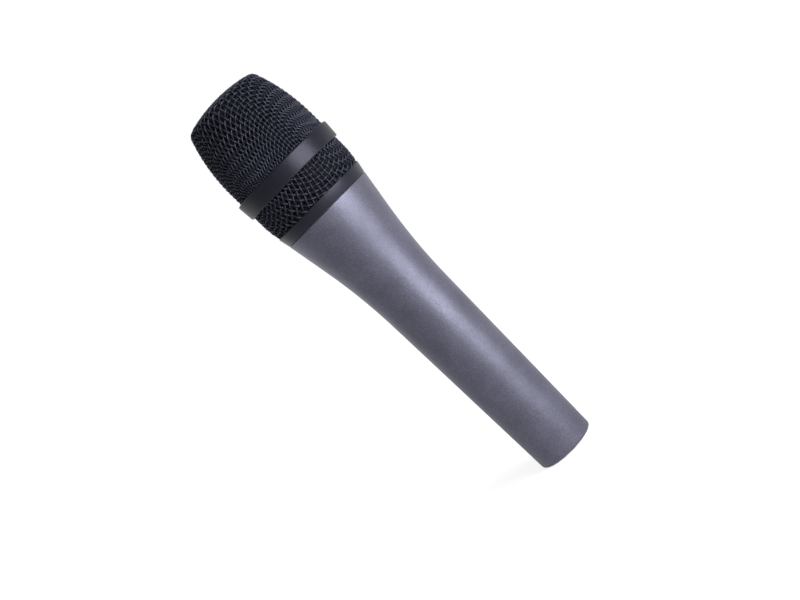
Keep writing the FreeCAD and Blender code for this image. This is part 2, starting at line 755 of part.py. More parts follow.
def yoke():
    """Steel cup with an inward lip that faces the pole piece across the coil's gap."""
    lip = f"{COIL_OUTER} + gap_room"
    revolved("yoke", [
        ("vent_radius", FLOOR),
        ("yoke_radius", FLOOR),
        ("yoke_radius", POLE_TOP),
        (lip, POLE_TOP),
        (lip, POLE_SEAT),
        ("yoke_radius - yoke_wall", POLE_SEAT),
        ("yoke_radius - yoke_wall", f"{FLOOR} + yoke_floor"),
        ("vent_radius", f"{FLOOR} + yoke_floor"),
    ])


def magnet_and_pole():
    ring("magnet", "vent_radius", "magnet_radius", f"{FLOOR} + yoke_floor", POLE_SEAT)
    ring("pole_piece", "vent_radius", "pole_radius", POLE_SEAT, POLE_TOP)


def moving_coil():
    """Voice coil and the domed diaphragm that carries it."""
    ring("voice_coil", COIL_INNER, COIL_OUTER, f"{POLE_SEAT} - coil_depth", MEMBRANE)
    shoulder_height = f"{MEMBRANE} + dome_height * 3 / 4"
    shoulder_radius = f"{COIL_OUTER} / 2"
    revolved("diaphragm", [
        ("0", f"{MEMBRANE} + dome_height"),
        (shoulder_radius, shoulder_height),
        (COIL_OUTER, MEMBRANE),
        (f"{RIM_BORE} - travel_gap", MEMBRANE),
        (f"{RIM_BORE} - travel_gap", f"{MEMBRANE} + membrane"),
        (COIL_OUTER, f"{MEMBRANE} + membrane"),
        (shoulder_radius, f"{shoulder_height} + membrane"),
        ("0", f"{MEMBRANE} + dome_height + membrane"),
    ])


def front_plate():
    """Perforated cap that protects the diaphragm."""
    body = revolved("front_plate", [
        ("plate_hole", f"{HOUSING_TOP} + plate_recess"),
        (f"{RIM_BORE} - travel_gap", f"{HOUSING_TOP} + plate_recess"),
        (f"{RIM_BORE} - travel_gap", HOUSING_TOP),
        ("housing_radius", HOUSING_TOP),
        ("housing_radius", PLATE_TOP),
        ("plate_hole", PLATE_TOP),
    ])
    sketch = new_sketch(body, "XY_Plane")
    add_circle(sketch, "plate_circle", "0", "plate_hole")
    hole = pocketed(body, sketch, f"{APEX} * 2", backwards=True)
    patterned(body, hole, "plate_holes")


def soft_capsule_parts():
    body = new_body("front_cloth")
    sketch = new_sketch(body, "XY_Plane", PLATE_TOP)
    add_circle(sketch, "0", "0", "housing_radius - cloth_inset")
    padded(body, sketch, "cloth_thick")
    ring("damping_felt", "yoke_radius + felt_gap", "housing_bore - felt_gap", FLOOR, f"{FLOOR} + felt_height")
    floor_low = f"{FLANGE} + floor_place"
    ring("hum_coil", "hum_inner", "hum_outer", f"{floor_low} - hum_height", floor_low)


for make in (
    handle_shell, capsule_mount_ring, suspension_ring, front_grille, rear_grille, collar_ring,
    grille_base_ring, foam_sleeve, foam_dome, connector_insert, contact_pins, insert_screw,
    terminal_board, ground_spring, signal_leads, lead_damper, capsule_housing, rear_chamber, yoke,
    magnet_and_pole, moving_coil, front_plate, soft_capsule_parts,
):
    make()

# ---------------------------------------------------------------------------- checks and export
document.recompute()
for item in document.Objects:
    if "Invalid" in item.State or "Error" in item.State:
        raise RuntimeError(f"{item.Label} did not build: {item.State}")
for sub_part in sub_parts:
    if sub_part.Shape.isNull() or not sub_part.Shape.isValid():
        raise RuntimeError(f"{sub_part.Label} has no valid shape")

os.makedirs("parts", exist_ok=True)
for sub_part in sub_parts:
    sub_part.Shape.exportStep(f"parts/{sub_part.Label}.step")
    print(f"{sub_part.Label}: {sub_part.Shape.Volume:.1f} mm3, {len(sub_part.Shape.Solids)} solid(s)")
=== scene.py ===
"""Handheld dynamic microphone: the finished pieces, their materials and a plain studio around them."""
import math
from typing import NamedTuple

import bmesh
import bpy
import numpy as np
from bpy.props import FloatProperty, FloatVectorProperty, IntProperty, PointerProperty
from mathutils import Matrix, Vector, noise


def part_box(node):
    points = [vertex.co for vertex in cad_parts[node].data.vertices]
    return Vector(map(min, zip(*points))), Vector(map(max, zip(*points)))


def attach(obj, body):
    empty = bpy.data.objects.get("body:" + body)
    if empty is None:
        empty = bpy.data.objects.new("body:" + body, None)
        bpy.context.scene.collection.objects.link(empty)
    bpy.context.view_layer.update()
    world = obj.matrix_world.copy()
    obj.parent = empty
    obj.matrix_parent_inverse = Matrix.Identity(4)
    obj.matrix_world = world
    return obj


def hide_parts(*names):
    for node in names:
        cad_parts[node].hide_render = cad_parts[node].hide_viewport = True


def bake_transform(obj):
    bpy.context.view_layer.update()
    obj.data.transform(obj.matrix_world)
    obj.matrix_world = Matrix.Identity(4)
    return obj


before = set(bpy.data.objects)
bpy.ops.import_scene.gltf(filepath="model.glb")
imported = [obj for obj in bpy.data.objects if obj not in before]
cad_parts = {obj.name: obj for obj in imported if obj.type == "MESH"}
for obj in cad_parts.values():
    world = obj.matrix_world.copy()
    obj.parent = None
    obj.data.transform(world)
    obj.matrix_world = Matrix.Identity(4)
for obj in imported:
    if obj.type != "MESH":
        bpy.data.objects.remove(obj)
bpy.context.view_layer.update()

bl_info = {
    "name": "Dynamic Microphone",
    "version": (1, 0, 0),
    "blender": (4, 5, 0),
    "location": "3D View > Sidebar > Microphone",
    "description": "Builds a handheld vocal microphone piece by piece",
    "category": "Object",
}

MM = 0.001
FULL_TURN = 2 * math.pi
ON_AXIS = 1e-9          # a radius below this counts as none
SAME_POINT = 1e-7       # points nearer than this are joined


def node_span(node):
    """Lowest height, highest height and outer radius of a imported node."""
    low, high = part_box(node)
    return low.z, high.z, max(high.x, -low.x)


SHELL_LOW, NECK_TOP, SHOULDER_RADIUS = node_span("handle_shell")
BAND_LOW, LIP_TOP, BAND_RADIUS = node_span("grille_base_ring")
REAR_LOW, REAR_TOP, GRILLE_RADIUS = node_span("rear_grille")
COLLAR_LOW, COLLAR_TOP, COLLAR_RADIUS = node_span("collar_ring")
FRONT_LOW, APEX, FRONT_RADIUS = node_span("front_grille")


# ------------------------------------------------------------------------------ settings
def length(name, description, default):
    """Setting in metres."""
    return FloatProperty(name=name, description=description, default=default, unit="LENGTH", precision=5)


def degrees(name, description, default):
    """Angle whose default is written in degrees."""
    return FloatProperty(name=name, description=description, default=math.radians(default), subtype="ANGLE")


def amount(name, description, default):
    """Plain number."""
    return FloatProperty(name=name, description=description, default=default)


def tint(name, description, default):
    """Colour."""
    return FloatVectorProperty(name=name, description=description, default=default, size=3, subtype="COLOR",
                               min=0.0, max=1.0)


class MIC_PG_basket(bpy.types.PropertyGroup):
    """Cloths, rings and foam of the basket"""
    pitch: length("Pitch", "Distance between wires at the front's middle", 2.03 * MM)
    side_pitch: length("Side pitch", "Distance between wires round the front's side", 1.9 * MM)
    rear_pitch: length("Rear pitch", "Distance between wires of the rear cloth", 2.06 * MM)
    wire_radius: length("Wire radius", "Radius of one wire", 0.36 * MM)
    crimp: length("Crimp", "How far a wire swings out and in where it crosses the others", 0.32 * MM)
    front_stretch: length("Front stretch", "Growth of the front cloth along its diagonals, for each wire", 1.25 * MM)
    rear_stretch: length("Rear stretch", "Growth of the rear cloth along its diagonals, for each wire", 0.5 * MM)
    sides: IntProperty(name="Wire sides", description="Sides of each wire", default=7, min=4, max=16)
    steps: IntProperty(name="Wire steps", description="Steps along a wire between two crossings",
                       default=4, min=2, max=8)
    turn: degrees("Weave turn", "Turn of the cloth's square cells about the axis", -68.5)
    front_bend: length("Front bend", "Radius of the slightly domed front", 59 * MM)
    front_reach: length("Front reach", "Radius at which the front meets its corner", 15.2 * MM)
    corner_bend: length("Corner bend", "Radius of the corner between front and side", 3.85 * MM)
    brow_radius: length("Brow radius", "Radius at which the corner meets the side", 17.6 * MM)
    brow_drop: length("Brow drop", "Depth of that place below the apex", 4.6 * MM)
    side_bend: length("Side bend", "Radius of the curved side", 73.4 * MM)
    rear_step: length("Rear step", "How far the foot of the rear cloth lies inside the band", 0.2 * MM)
    rear_rise: length("Rear rise", "Height of the curved foot of the rear cloth", 7.9 * MM)
    rear_bend: length("Rear bend", "Radius of that curve", 35 * MM)
    rear_corner: length("Rear corner", "Radius of the hidden corner under the rear cloth", 1.4 * MM)
    collar_taper: length("Collar taper", "How much narrower the collar's lower edge is", 0.5 * MM)
    collar_round: length("Collar rounding", "Rounding of the collar's edges", 0.6 * MM)
    side_straight: length("Straight side", "Straight stretch of the side above the collar", 5.2 * MM)
    wire_tint: tint("Wire", "Colour of the plated wire", (0.015, 0.017, 0.027))
    ring_tint: tint("Rings", "Colour of the collar and the band", (0.010, 0.011, 0.017))
    foam_tint: tint("Foam", "Colour of the foam liner", (0.020, 0.022, 0.030))


class MIC_PG_body(bpy.types.PropertyGroup):
    """Outline and paint of the body"""
    tail_radius: length("Tail radius", "Radius of the tail", 12.35 * MM)
    tail_round: length("Tail rounding", "Rounding of the tail's rim", 1.2 * MM)
    waist_height: length("Waist height", "Top of the gently tapered barrel", 80 * MM)
    waist_radius: length("Waist radius", "Radius at that height", 14.18 * MM)
    flare_height: length("Flare height", "Top of the curved flare", 112 * MM)
    flare_radius: length("Flare radius", "Radius at that height", 17.15 * MM)
    flare_bend: length("Flare bend", "Radius of the curve of the flare", 228 * MM)
    shoulder: length("Shoulder", "Height of the shoulder under the basket", 129.2 * MM)
    paint: tint("Paint", "Colour of the metallic paint", (0.172, 0.172, 0.240))
    paint_dark: tint("Paint, dark", "Darker tone of the metallic paint", (0.140, 0.140, 0.194))


class MIC_PG_stage(bpy.types.PropertyGroup):
    """Camera, lamps and surround"""
    distance: length("Camera distance", "Distance of the camera from the axis", 521 * MM)
    height: length("Camera height", "Height of the camera", 134.9 * MM)
    tilt: degrees("Tilt", "Tilt of the camera towards the tail", 5.42)
    swing: degrees("Swing", "Swing of the camera to the side", 0.558)
    roll: degrees("Roll", "Roll of the camera, which lays the microphone across the picture", 45.461)
    lens: amount("Lens", "Focal length in millimetres", 62.04)
    key_turn: degrees("Key turn", "Place of the key lamp round the axis", 39)
    key_reach: length("Key reach", "Distance of the key lamp", 0.62)
    key_width: length("Key width", "Width of the key lamp", 0.48)
    key_power: amount("Key power", "Power of the key lamp in watts", 7.1)
    low_power: amount("Low power", "Power of the lamp for the tail in watts", 0.7)
    fill_power: amount("Fill power", "Power of the fill lamp in watts", 0.2)
    ambient: amount("Ambient", "Level of the light from all round", 0.19)
    surround_front: amount("Surround in front", "What gloss shows of the surround in front of the object", 0.07)
    surround_behind: amount("Surround behind", "What gloss shows of the surround behind the object", 0.66)
    floor_front: amount("Floor in front", "What gloss shows of the floor in front of the object", 0.17)
    floor_behind: amount("Floor behind", "What gloss shows of the floor behind the object", 0.84)


# ------------------------------------------------------------------------------ outlines and meshes
def arc_points(start, end, bend, count):
    """Points from start up to, not including, end along an arc; a positive bend turns left, a negative right."""
    start, end = Vector(start), Vector(end)
    chord = end - start
    left = Vector((-chord.y, chord.x)).normalized() * math.copysign(1, bend)
    centre = (start + end) / 2 + left * math.sqrt(max(bend ** 2 - (chord.length / 2) ** 2, 0))
    first = math.atan2(start.y - centre.y, start.x - centre.x)
    sweep = 2 * math.asin(min(chord.length / 2 / abs(bend), 1)) * math.copysign(1, bend)
    return [(centre.x + abs(bend) * math.cos(first + sweep * step / count),
             centre.y + abs(bend) * math.sin(first + sweep * step / count)) for step in range(count)]


def soften(corners, steps):
    """Outline with its corners rounded; a corner is (radius, height) or (radius, height, rounding)."""
    outline = []
    for index, corner in enumerate(corners):
        here = Vector(corner[:2])
        before = Vector(corners[index - 1][:2]) - here
        after = Vector(corners[(index + 1) % len(corners)][:2]) - here
        rounding = corner[2] if len(corner) > 2 else 0
        if not rounding:
            outline.append(tuple(here))
            continue
        angle = before.angle(after)
        reach = min(rounding / math.tan(angle / 2), before.length * 0.49, after.length * 0.49)
        first = here + before.normalized() * reach
        last = here + after.normalized() * reach
        turn = math.copysign(reach * math.tan(angle / 2), before.x * after.y - before.y * after.x)
        outline.extend(arc_points(first, last, -turn, steps))
        outline.append(tuple(last))
    return outline


def new_piece(name, points, faces, sharp=35):
    """Object with smooth faces and sharp edges from plain lists of points and faces."""
    mesh = bpy.data.meshes.new(name)
    mesh.from_pydata([tuple(point) for point in points], [], faces)
    builder = bmesh.new()
    builder.from_mesh(mesh)
    bmesh.ops.remove_doubles(builder, verts=builder.verts, dist=SAME_POINT)
    bmesh.ops.recalc_face_normals(builder, faces=builder.faces)
    builder.to_mesh(mesh)
    builder.free()
    mesh.shade_smooth()
    mesh.set_sharp_from_angle(angle=math.radians(sharp))
    return bpy.data.objects.new(name, mesh)


def lathe(name, section, segments=160, sharp=35):
    """Piece from a closed half section turned about the axis."""
    section = np.array(section)
    count = len(section)
    angles = np.linspace(0, FULL_TURN, segments, endpoint=False)
    points = np.stack([np.outer(np.cos(angles), section[:, 0]), np.outer(np.sin(angles), section[:, 0]),
                       np.tile(section[:, 1], (segments, 1))], axis=2).reshape(-1, 3)
    faces = []
    for turn in range(segments):
        following = (turn + 1) % segments
        for index in range(count):
            after = (index + 1) % count
            if max(section[index, 0], section[after, 0]) < ON_AXIS:
                continue
            faces.append((turn * count + index, following * count + index,
                          following * count + after, turn * count + after))
    return new_piece(name, points, faces, sharp)


def place(piece, body, material, slot, *nodes, until=None):
    """Put a finished piece in its material and in place of the nodes that it stands for, and on its body unless it
    has until.

    A soft piece between two bodies has until=(other body, start height, end height); these values are not used: the
    piece is only baked in place.
    """
    bpy.context.scene.collection.objects.link(piece)
    piece.data.materials.clear()
    piece.data.materials.append(material)
    if until:
        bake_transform(piece)
    else:
        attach(piece, body)
    if nodes:
        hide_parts(*nodes)


def dress(*nodes):
    """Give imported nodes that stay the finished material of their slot."""
    for node in nodes:
        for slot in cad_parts[node].material_slots:
            slot.material = MATERIALS[slot.material.name]


# ------------------------------------------------------------------------------ woven cloth
class Weave(NamedTuple):
    """How a flat cloth lies once it is drawn deep; its places are counted in wires from its middle."""
    middle_pitch: float  # distance between wires round the middle
    knee: float          # place from which the next pitch holds
    side_pitch: float
    start: float         # place from which the cloth stretches along its diagonals
    stretch: float       # that stretch for each wire further out
    gather: float        # turn towards the diagonals for each wire further out


class Profile:
    """Half section of a drawn cloth, measured from its pole outwards."""
    STEP = 0.04 * MM

    def __init__(self, outline):
        points = np.array(outline)
        spans = np.hypot(*np.diff(points, axis=0).T)
        along = np.concatenate([[0], np.cumsum(spans)])
        self.reach = np.arange(0, along[-1], self.STEP)
        self.radius = np.interp(self.reach, along, points[:, 0])
        self.height = np.interp(self.reach, along, points[:, 1])
        facing = 1 if points[-1, 1] < points[0, 1] else -1
        self.rise = np.gradient(self.radius, self.reach) * facing
        self.lean = -np.gradient(self.height, self.reach) * facing

    def points(self, reach, angle):
        """Points on the cloth's middle and the ways out of it."""
        radius, height, lean, rise = (np.interp(reach, self.reach, values)
                                      for values in (self.radius, self.height, self.lean, self.rise))
        outward = np.stack([lean * np.cos(angle), lean * np.sin(angle), rise], axis=1)
        return (np.stack([radius * np.cos(angle), radius * np.sin(angle), height], axis=1),
                outward / np.linalg.norm(outward, axis=1, keepdims=True))


def drawn(weave, row, column):
    """Where a point of the flat cloth lies once drawn: its way along the profile and its angle.

    The cloth is longer along the diagonals of its cells and gathered beside them.
    """
    out = np.hypot(row, column)
    angle = np.arctan2(column, row)
    pulled = np.maximum(out - weave.start, 0)
    reach = weave.middle_pitch * np.minimum(out, weave.knee) + weave.side_pitch * np.maximum(out - weave.knee, 0)
    reach += weave.stretch * pulled * (1 - np.cos(4 * angle)) / 2
    return reach, angle + weave.gather * pulled * np.sin(4 * angle) / 4


def sweep_wire(line, outward, radius, sides, first):
    """Round wire along a line: points, faces and the outward share of each point's place on the wire."""
    along = np.gradient(line, axis=0)
    along /= np.linalg.norm(along, axis=1, keepdims=True)
    across = np.cross(along, outward)
    across /= np.linalg.norm(across, axis=1, keepdims=True)
    up = np.cross(across, along)
    angles = np.linspace(0, FULL_TURN, sides, endpoint=False)
    ring = up[:, None, :] * np.cos(angles)[None, :, None] + across[:, None, :] * np.sin(angles)[None, :, None]
    points = (line[:, None, :] + ring * radius).reshape(-1, 3)
    count = len(line)
    start = first + np.arange(count - 1)[:, None] * sides + np.arange(sides)[None, :]
    after = first + np.arange(count - 1)[:, None] * sides + (np.arange(sides)[None, :] + 1) % sides
    faces = np.stack([start, after, after + sides, start + sides], axis=2).reshape(-1, 4).tolist()
    faces.append([first + side for side in reversed(range(sides))])
    faces.append([first + (count - 1) * sides + side for side in range(sides)])
    return points, faces, np.tile(np.cos(angles), count)


def runs(inside):
    """First and last place of each unbroken stretch of true values."""
    edges = np.flatnonzero(np.diff(np.concatenate([[0], inside.astype(int), [0]])))
    return [(begin, end) for begin, end in zip(edges[::2], edges[1::2]) if end - begin > 2]


def woven(name, profile, weave, low, high, size):
    """Plain-woven wire cloth drawn over a profile and cut off at a lowest and a highest height."""
    count = int(profile.reach[-1] / weave.side_pitch) + 2
    along = np.arange(-count, count + 1e-9, 1 / size.steps)
    points, faces, crests = [], [], []
    first = 0
    for family in (0, 1):
        for line in range(-count, count + 1):
            across = np.full_like(along, line)
            reach, angle = drawn(weave, *((across, along) if family else (along, across)))
            middle, outward = profile.points(reach, angle + size.turn)
            wave = size.crimp * np.cos(math.pi * (along + line + family))
            path = middle + outward * wave[:, None]
            inside = (reach < profile.reach[-1]) & (path[:, 2] > low) & (path[:, 2] < high)
            for begin, end in runs(inside):
                made, made_faces, facing = sweep_wire(path[begin:end], outward[begin:end],
                                                      size.wire_radius, size.sides, first)
                points.append(made)
                faces.extend(made_faces)
                crests.append((np.repeat(wave[begin:end], size.sides) / size.crimp + facing) / 2)
                first += len(made)
    mesh = bpy.data.meshes.new(name)
    mesh.from_pydata(np.concatenate(points).tolist(), [], faces)
    mesh.shade_smooth()
    attribute = mesh.attributes.new("crest", "FLOAT", "POINT")
    attribute.data.foreach_set("value", np.concatenate(crests).astype(np.float32))
    return bpy.data.objects.new(name, mesh)


# ------------------------------------------------------------------------------ shader nodes
GROUPS = {}
MATERIALS = {}


def add(tree, kind, inputs=None, **settings):
    """New shader node; inputs maps its sockets to plain values or to the outputs of other nodes."""
    node = tree.nodes.new("ShaderNode" + kind)
    for name, setting in settings.items():
        setattr(node, name, setting)
    for socket, feed in (inputs or {}).items():
        if isinstance(feed, bpy.types.NodeSocket):
            tree.links.new(feed, node.inputs[socket])
        else:
            node.inputs[socket].default_value = feed
    return node


def maths(tree, operation, first, second=0.0, third=0.0, clamp=False):
    """Result of a Math node."""
    return add(tree, "Math", {0: first, 1: second, 2: third}, operation=operation, use_clamp=clamp).outputs[0]


def per(tree, size):
    """Scale of a texture whose features have that size."""
    return maths(tree, "DIVIDE", 1.0, size)


def spread(tree, source, low, high, out_low=0.0, out_high=1.0):
    """A value from low to high as one from out_low to out_high, held at the ends."""
    sockets = {"Value": source, "From Min": low, "From Max": high, "To Min": out_low, "To Max": out_high}
    return add(tree, "MapRange", sockets).outputs["Result"]


def blended(tree, share, first, second):
    """Mix of two colours."""
    node = add(tree, "Mix", {0: share}, data_type="RGBA")
    for socket, feed in ((6, first), (7, second)):
        if isinstance(feed, bpy.types.NodeSocket):
            tree.links.new(feed, node.inputs[socket])
        else:
            node.inputs[socket].default_value = (*feed[:3], 1.0)
    return node.outputs[2]


def place_on_part(tree):
    """Places over the part, in metres: every piece keeps the part's own frame."""
    return add(tree, "TexCoord").outputs["Object"]


def new_group(name, inputs, outputs):
    """Empty node group with the named sockets; what it is given and what it puts out."""
    group = bpy.data.node_groups.new(name, "ShaderNodeTree")
    for label, kind, default in inputs:
        socket = group.interface.new_socket(label, in_out="INPUT", socket_type="NodeSocket" + kind)
        socket.default_value = default
    for label, kind in outputs:
        group.interface.new_socket(label, in_out="OUTPUT", socket_type="NodeSocket" + kind)
    return group, group.nodes.new("NodeGroupInput").outputs, group.nodes.new("NodeGroupOutput").inputs


def tone_group():
    """Slow drift between two tones, with fine specks of a third."""
    group, given, made = new_group(
        "Tone Drift",
        [("Tone", "Color", (0.5, 0.5, 0.5, 1)), ("Other Tone", "Color", (0.4, 0.4, 0.4, 1)),
         ("Patch Size", "Float", 0.01), ("Speck Size", "Float", 0.0002), ("Speck", "Float", 0.1)],
        [("Color", "Color"), ("Drift", "Float")])
    where = place_on_part(group)
    patches = add(group, "TexNoise", {"Vector": where, "Scale": per(group, given["Patch Size"]),
                                      "Detail": 4.0, "Roughness": 0.6})
    specks = add(group, "TexNoise", {"Vector": where, "Scale": per(group, given["Speck Size"]), "Detail": 2.0})
    drift = spread(group, patches.outputs[0], 0.35, 0.65)
    speck = spread(group, specks.outputs[0], 0.35, 0.65, -1.0, 1.0)
    lift = maths(group, "MULTIPLY_ADD", speck, given["Speck"], 1.0)
    tone = blended(group, drift, given["Tone"], given["Other Tone"])
    lifted = add(group, "VectorMath", {0: tone, "Scale": lift}, operation="SCALE").outputs[0]
    group.links.new(lifted, made["Color"])
    group.links.new(drift, made["Drift"])
    return group


def grain_group():
    """Fine irregular grain, as in textured lacquer, cast metal or moulded plastic."""
    group, given, made = new_group(
        "Fine Grain",
        [("Grain Size", "Float", 0.0003), ("Pits", "Float", 0.2)],
        [("Height", "Float"), ("Mask", "Float")])
    where = place_on_part(group)
    scale = per(group, given["Grain Size"])
    clouds = add(group, "TexNoise", {"Vector": where, "Scale": scale, "Detail": 3.0, "Roughness": 0.55})
    cells = add(group, "TexVoronoi", {"Vector": where, "Scale": maths(group, "MULTIPLY", scale, 0.35)})
    pits = spread(group, cells.outputs["Distance"], 0.0, 0.25, 1.0, 0.0)
    held = maths(group, "MULTIPLY", pits, given["Pits"])
    group.links.new(maths(group, "SUBTRACT", clouds.outputs[0], held), made["Height"])
    group.links.new(spread(group, clouds.outputs[0], 0.3, 0.7), made["Mask"])
    return group


def edge_wear_and_highlight_group():
    """Band round the axis near one height, broken up by noise: it marks edge wear, and it also paints highlight lines
    along edges.
    """
    group, given, made = new_group(
        "Edge Wear And Highlight",
        [("Height", "Float", 0.0), ("Width", "Float", 0.001), ("Patch Size", "Float", 0.002),
         ("Amount", "Float", 0.5)],
        [("Mask", "Float")])
    where = place_on_part(group)
    height = add(group, "SeparateXYZ", {0: where}).outputs[2]
    away = maths(group, "ABSOLUTE", maths(group, "SUBTRACT", height, given["Height"]))
    near = maths(group, "SUBTRACT", 1.0, maths(group, "DIVIDE", away, given["Width"]), clamp=True)
    clouds = add(group, "TexNoise", {"Vector": where, "Scale": per(group, given["Patch Size"]),
                                     "Detail": 5.0, "Roughness": 0.65})
    scuff_and_highlight = spread(group, maths(group, "MULTIPLY", near, clouds.outputs[0]), 0.30, 0.50)
    group.links.new(maths(group, "MULTIPLY", scuff_and_highlight, given["Amount"]), made["Mask"])
    return group


def turned_group():
    """Fine turning marks: rings round the axis along a piece's height and across its ends."""
    group, given, made = new_group(
        "Turning Marks",
        [("Spacing", "Float", 0.0002)],
        [("Height", "Float"), ("Mask", "Float")])
    where = add(group, "SeparateXYZ", {0: place_on_part(group)})
    squares = [maths(group, "MULTIPLY", where.outputs[way], where.outputs[way]) for way in (0, 1)]
    radius = maths(group, "SQRT", maths(group, "ADD", *squares))
    along = maths(group, "ADD", radius, where.outputs[2])
    step = maths(group, "DIVIDE", along, given["Spacing"])
    clouds = add(group, "TexNoise", {"W": step, "Scale": 1.0, "Detail": 2.0}, noise_dimensions="1D")
    group.links.new(clouds.outputs[0], made["Height"])
    group.links.new(spread(group, clouds.outputs[0], 0.3, 0.7), made["Mask"])
    return group


WAVE_SCALE = 0.314  # a wave texture repeats every tenth of a full turn


def fibre_group():
    """Two crossing directions of thread with loose fibres, for cloth and felt."""
    group, given, made = new_group(
        "Fibres",
        [("Thread", "Float", 0.0004), ("Fuzz", "Float", 0.5)],
        [("Height", "Float"), ("Mask", "Float")])
    where = place_on_part(group)
    scale = per(group, given["Thread"])
    wave = {"Vector": where, "Scale": maths(group, "MULTIPLY", scale, WAVE_SCALE), "Distortion": 1.5,
            "Detail": 2.0, "Detail Scale": 2.0}
    waves = [add(group, "TexWave", wave, bands_direction=way).outputs[1] for way in ("X", "Y")]
    fuzz = add(group, "TexNoise", {"Vector": where, "Scale": scale, "Detail": 6.0, "Roughness": 0.7})
    woven_height = maths(group, "MAXIMUM", *waves)
    share = maths(group, "MULTIPLY", fuzz.outputs[0], given["Fuzz"])
    group.links.new(maths(group, "ADD", woven_height, share), made["Height"])
    group.links.new(spread(group, fuzz.outputs[0], 0.3, 0.7), made["Mask"])
    return group


def use(tree, name, **values):
    """One of the shared groups, placed with its own values; an underscore stands for a space."""
    node = tree.nodes.new("ShaderNodeGroup")
    node.node_tree = GROUPS[name]
    for label, feed in values.items():
        socket = node.inputs[label.replace("_", " ")]
        if isinstance(feed, bpy.types.NodeSocket):
            tree.links.new(feed, socket)
        elif socket.type == "RGBA":
            socket.default_value = (*feed[:3], 1.0)
        else:
            socket.default_value = feed
    return node


# ------------------------------------------------------------------------------ materials
# Lighter colours blended in at rims and crests: partly wear, partly painted highlight.
METAL_WEAR_AND_HIGHLIGHT = (0.62, 0.62, 0.68)
PLATING_WEAR_AND_HIGHLIGHT = (0.075, 0.080, 0.110)
ENAMEL_WEAR_AND_HIGHLIGHT = (0.05, 0.05, 0.06)
COOL_GLOSS = (0.80, 0.81, 1.0)
BLACK = (0.0, 0.0, 0.0)
# The floor glows less near the part than far from it: a painted shade round the foot.
PAINTED_SHADE_WHITE = (0.79, 0.79, 0.79)
FAR_WHITE = (0.93, 0.93, 0.93)
SHADOW_EDGE = (0.08, 0.40)      # distances from the part at which the floor shows the near and the far white
FRONT_TO_BEHIND = (-0.3, 0.6)   # depths at which gloss shows the front and the back of the floor


def new_material(name, **sockets):
    """Material with its Principled BSDF; plain values go straight to the shader's own sockets."""
    material = bpy.data.materials.new(name)
    material.use_nodes = True
    shader = material.node_tree.nodes["Principled BSDF"]
    for label, setting in sockets.items():
        socket = shader.inputs[label.replace("_", " ")]
        socket.default_value = (*setting, 1.0) if socket.type == "RGBA" else setting
    return material, material.node_tree, shader


def surface(tree, shader, colour, roughness, height, depth):
    """Link what changes over a surface: its colour, its roughness, and its height by way of a bump."""
    bump = add(tree, "Bump", {"Height": height, "Strength": 1.0, "Distance": depth})
    for feed, socket in ((colour, "Base Color"), (roughness, "Roughness"), (bump.outputs[0], "Normal")):
        if feed:
            tree.links.new(feed, shader.inputs[socket])


def scaled(tone, share):
    """The same tone, lighter or darker."""
    return [part * share for part in tone]


def lacquer(name, tone, other, metal):
    """Metallic lacquer: flake, fine texture, a drift in tone, bare metal showing where the tail rim is scuffed, and a
    painted highlight line in bare-metal colour along the top edge of the paint.
    """
    material, tree, shader = new_material(name, Metallic=metal, Coat_Weight=0.12, Coat_Roughness=0.3)
    tones = use(tree, "Tone Drift", Tone=tone, Other_Tone=other, Patch_Size=0.012, Speck_Size=0.00036, Speck=0.24)
    grain = use(tree, "Fine Grain", Grain_Size=0.00022, Pits=0.25)
    tail = use(tree, "Edge Wear And Highlight", Height=SHELL_LOW, Width=0.0016, Patch_Size=0.0022, Amount=0.6)
    # Full-strength band of bare-metal colour along the top edge of the paint: a painted highlight line. The band at
    # the tail is edge wear.
    shoulder = use(tree, "Edge Wear And Highlight", Height=BAND_LOW, Width=0.0005, Patch_Size=0.0030, Amount=1.0)
    wear_and_highlight = maths(tree, "MAXIMUM", tail.outputs[0], shoulder.outputs[0])
    colour = blended(tree, wear_and_highlight, tones.outputs["Color"], METAL_WEAR_AND_HIGHLIGHT)
    satin = spread(tree, grain.outputs["Mask"], 0.0, 1.0, 0.37, 0.47)
    roughness = maths(tree, "MULTIPLY_ADD", wear_and_highlight, -0.10, satin)
    surface(tree, shader, colour, roughness, grain.outputs["Height"], 0.035 * MM)
    return material


def plated_wire(name, tone):
    """Black-plated wire: glossier on the crests and lighter there, partly from wear of the plating and partly as a
    painted highlight; dull and dusty in the crossings.
    """
    material, tree, shader = new_material(name, Metallic=0.25, Specular_IOR_Level=0.5, Specular_Tint=COOL_GLOSS)
    crest = add(tree, "Attribute", attribute_name="crest").outputs["Fac"]
    tones = use(tree, "Tone Drift", Tone=tone, Other_Tone=scaled(tone, 1.5), Patch_Size=0.004,
                Speck_Size=0.00012, Speck=0.2)
    grain = use(tree, "Fine Grain", Grain_Size=0.00010, Pits=0.3)
    # Lighter colour on the outward crests: wear of the plating and a painted highlight.
    scuff_and_highlight = spread(tree, crest, 0.80, 1.0, 0.0, 0.35)
    dull = spread(tree, crest, 0.15, 0.6, 0.55, 0.30)
    colour = blended(tree, scuff_and_highlight, tones.outputs["Color"], PLATING_WEAR_AND_HIGHLIGHT)
    roughness = maths(tree, "MULTIPLY_ADD", grain.outputs["Mask"], 0.10, dull)
    surface(tree, shader, colour, roughness, grain.outputs["Height"], 0.010 * MM)
    return material


